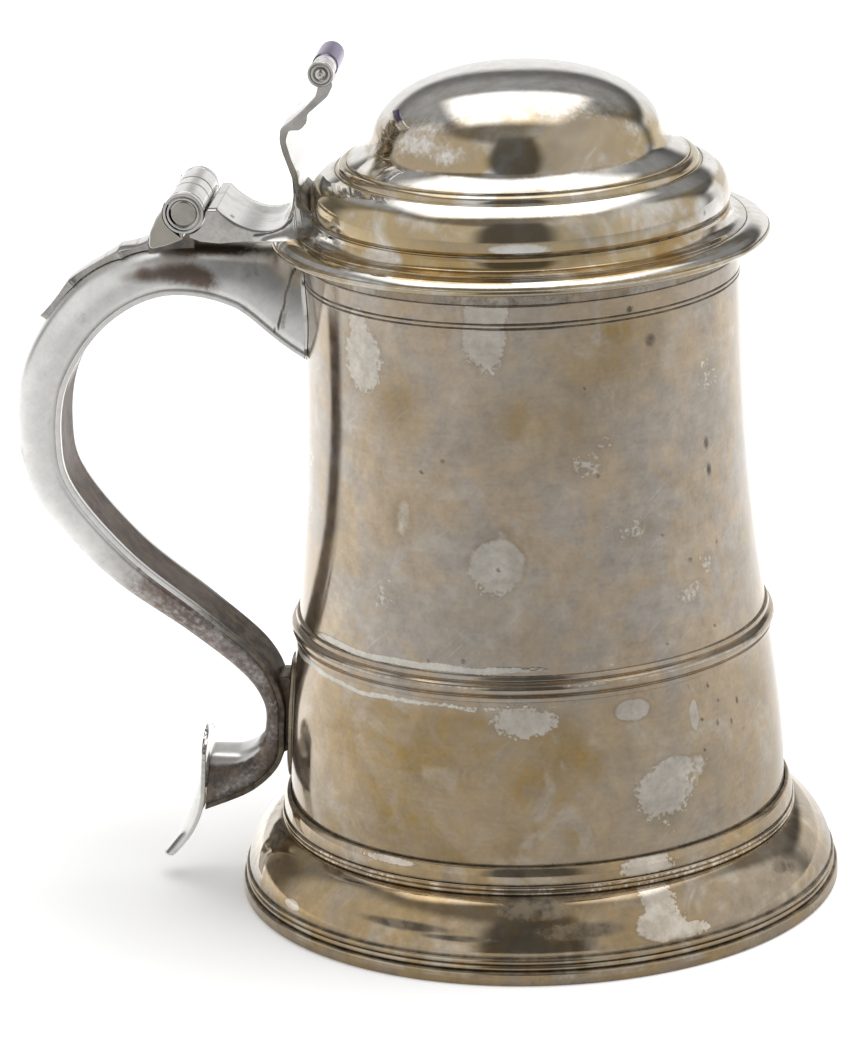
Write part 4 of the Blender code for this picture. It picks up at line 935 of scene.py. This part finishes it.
# Handle terminal: a cast convex shield with a scalloped head, soldered over the open end of the
# tail and kicked out at its tip.
SHIELD_HEIGHT, SHIELD_HALF, SCALLOPED = 30.8, 8.5, 0.28
end_centre, _, end_depth, _ = handle_frames(np.array([1.0]))
edge_x = end_centre[0, 0] - 0.12 * end_depth[0] / 2 + 0.6
top_z = end_centre[0, 1] + SHIELD_HEIGHT * 0.37
down = np.linspace(0, 1, 101)[:, None]
u, shield_up = ribbon(0, 1.1, 0.3, 0.5)
lobes = 0.35 * np.abs(np.sin(np.pi * 5 * down / SCALLOPED)) * fade(down, SCALLOPED, 0)
half = SHIELD_HALF * (1 - 0.64 * down ** 3 - 0.12 * np.sin(np.pi * down)) + lobes
bulge = 1.9 * np.sin(0.74 * np.pi * down) * (1 - u ** 2)
kick = 7.4 * fade(down, 0.35, 1.0) ** 2.2
x = edge_x - 2.4 * down - kick - bulge + 0.55 - shield_up
head = 0.4 * np.abs(np.cos(np.pi * 3 * u)) * np.clip(1 - 8 * down, 0, 1)
z = top_z - SHIELD_HEIGHT * down - 3.5 * u ** 2 * (1 - down) + head
handle_shield = surface("handle_shield", ended(np.stack([x, u * half, z], axis=-1)))
dress(handle_shield, RUBBED, "polished_silver", "body", "handle_terminal")


# Floor: a sheet of matt white paper on a table, which keeps the tankard's soft shadow. Far from it
# the camera sees plain white; in the metal the paper is dimmer in front and to the right.
def white_to(node, rays, backdrop):
    """1 for camera rays; for mirrored and transmitted rays the share of white backdrop that they meet."""
    mirrored = node("Math MAXIMUM", (rays["Is Glossy Ray"], rays["Is Transmission Ray"]))
    mirrored = node("Math MULTIPLY", (mirrored, backdrop))
    return node("Math MAXIMUM", (rays["Is Camera Ray"], mirrored))


paper = bpy.data.materials.new("white paper")
paper.use_nodes = True
paper.node_tree.nodes.clear()
node = partial(add, paper.node_tree)
rays = node("LightPath", out=None).outputs
here = node("TexCoord", out="Object")
toward = node("SeparateXYZ", (node("VectorMath NORMALIZE", (here,)),), None).outputs
level = node("Math MULTIPLY", (
    node("MapRange", (toward[1], -1.0, 0.8, 0.43, 1.0)),
    node("MapRange", (toward[0], 0.1, 0.9, 1.0, 0.70))))
seen = white_to(node, rays, node("MapRange", (toward[1], 0.80, 0.90), **SMOOTH))
level = node("Math MAXIMUM", (level, seen))
away = node("VectorMath LENGTH", (here,), "Value")
near_glow = node("MapRange", (away, 0.08, 0.26, 0.24, 0.60))
strength = node("Mix", {0: rays["Is Camera Ray"], 2: 0.52, 3: near_glow})
matt = node("BsdfDiffuse", {"Color": level})
glow = node("Emission", {"Color": level, "Strength": strength})
node("OutputMaterial", {"Surface": node("AddShader", (matt, glow))}, None)
SHEET_HALF, SHEET_Z = 3000, -0.02
across = np.linspace(-SHEET_HALF, SHEET_HALF, 5)
sheet = np.stack(np.broadcast_arrays(across[:, None], across[None, :], SHEET_Z), axis=-1)
paper_floor = surface("paper_floor", sheet, closed_columns=False)
paper_floor.data.materials.append(paper)

# Light: a softbox overhead and a white sweep behind in a dim room, as the metal sees them; to the
# camera the room is plain white. One lamp gives the shadow on the paper.
scene = bpy.context.scene
room = bpy.data.worlds.new("studio")
room.use_nodes = True
scene.world = room
room.node_tree.nodes.clear()
node = partial(add, room.node_tree)
rays = node("LightPath", out=None).outputs
way = node("TexCoord", out="Generated")
right, behind, up = node("SeparateXYZ", (way,), None).outputs
level_way = node("VectorMath MULTIPLY", (way, (1, 1, 0)))
level_way = node("VectorMath NORMALIZE", (level_way,))
side, depth_way, _ = node("SeparateXYZ", (level_way,), None).outputs

# Walls, darker behind and turning with the right side, under a ceiling that is darker on the left
walls = node("Math ADD", (
    node("MapRange", (side, -0.35, 0.35, 0.80, 0.60), **SMOOTH),
    node("MapRange", (side, 0.55, 0.95, 0.0, 0.22), **SMOOTH)))
back = node("Math ADD", (
    node("MapRange", (side, -0.5, 0.5, 0.17, 0.08), **SMOOTH),
    node("MapRange", (up, 0.36, 0.54, 0.0, 0.17), **SMOOTH)))
rightward = node("Math MAXIMUM", (side, 0.0))
turned_way = node("Math MULTIPLY_ADD", (rightward, -0.28, depth_way))
shade = node("Mix", {0: node("MapRange", (turned_way, 0.25, 0.5), **SMOOTH), 2: walls, 3: back})
high = node("Math MAXIMUM", (up, 0.05))
right_up = node("Math DIVIDE", (right, high))
behind_up = node("Math DIVIDE", (behind, high))
ceiling = node("MapRange", (right_up, 0.0, 0.40, 0.26, 0.70), **SMOOTH)
shade = node("Mix", {0: node("MapRange", (up, 0.70, 0.86), **SMOOTH), 2: shade, 3: ceiling})

# A dark stand in front, the sweep, the softbox, and white for all that the camera sees
off_middle = node("Math ABSOLUTE", (node("Math SUBTRACT", (side, 0.03)),))
stand = overlap(node, (off_middle, 0.46, 0.28), (depth_way, -0.5, -0.7), (up, 0.97, 0.85))
seen = white_to(node, rays, overlap(node, (depth_way, 0.62, 0.80), (up, 0.34, 0.22)))
box_x = node("Math ABSOLUTE", (node("Math ADD", (right_up, 0.075)),))
box_y = node("Math ABSOLUTE", (node("Math SUBTRACT", (behind_up, 0.52)),))
softbox = overlap(node, (box_x, 0.56, 0.32), (box_y, 0.62, 0.36))
for share, brightness in ((stand, 0.11), (softbox, 2.0), (seen, 1.0)):
    shade = node("Mix", {0: share, 2: shade, 3: brightness})
sky = node("Background", {"Color": shade, "Strength": 1.0})
node("OutputWorld", {"Surface": sky}, None)

lamp = bpy.data.lights.new("softbox_lamp", "AREA")
lamp.shape = "SQUARE"
lamp.size = 0.7
lamp.energy = 4.5
softbox_lamp = bpy.data.objects.new("softbox_lamp", lamp)
softbox_lamp.matrix_world = Matrix.Translation((0.42, -0.05, 1.0)) @ Matrix.Rotation(0.38, 4, "Y")
softbox_lamp.visible_glossy = False
scene.collection.objects.link(softbox_lamp)

# Camera: a long lens at the photograph's place, a little above the lid and turned slightly left.
PICTURE_HEIGHT, FOCAL_PIXELS, FILM = 1044, 5000, 36.0
yaw, pitch, roll = np.radians([-6.24, -17.445, -2.149])
forward = np.array([np.sin(yaw) * np.cos(pitch), np.cos(yaw) * np.cos(pitch), np.sin(pitch)])
level_right = np.array([np.cos(yaw), -np.sin(yaw), 0.0])
level_up = np.cross(level_right, forward)
camera_right = np.cos(roll) * level_right + np.sin(roll) * level_up
camera_up = np.cos(roll) * level_up - np.sin(roll) * level_right
place = np.array([94.5, -1079.7, 426.6]) * MM + (AXIS_X, 0, 0)
stance = np.eye(4)
stance[:3] = np.column_stack([camera_right, camera_up, -forward, place])
lens = bpy.data.cameras.new("camera")
lens.sensor_width = FILM
lens.lens = FILM * FOCAL_PIXELS / PICTURE_HEIGHT
lens.clip_end = 20.0
camera = bpy.data.objects.new("camera", lens)
camera.matrix_world = Matrix(stance.tolist())
scene.collection.objects.link(camera)
scene.camera = camera
scene.view_settings.view_transform = "Standard"
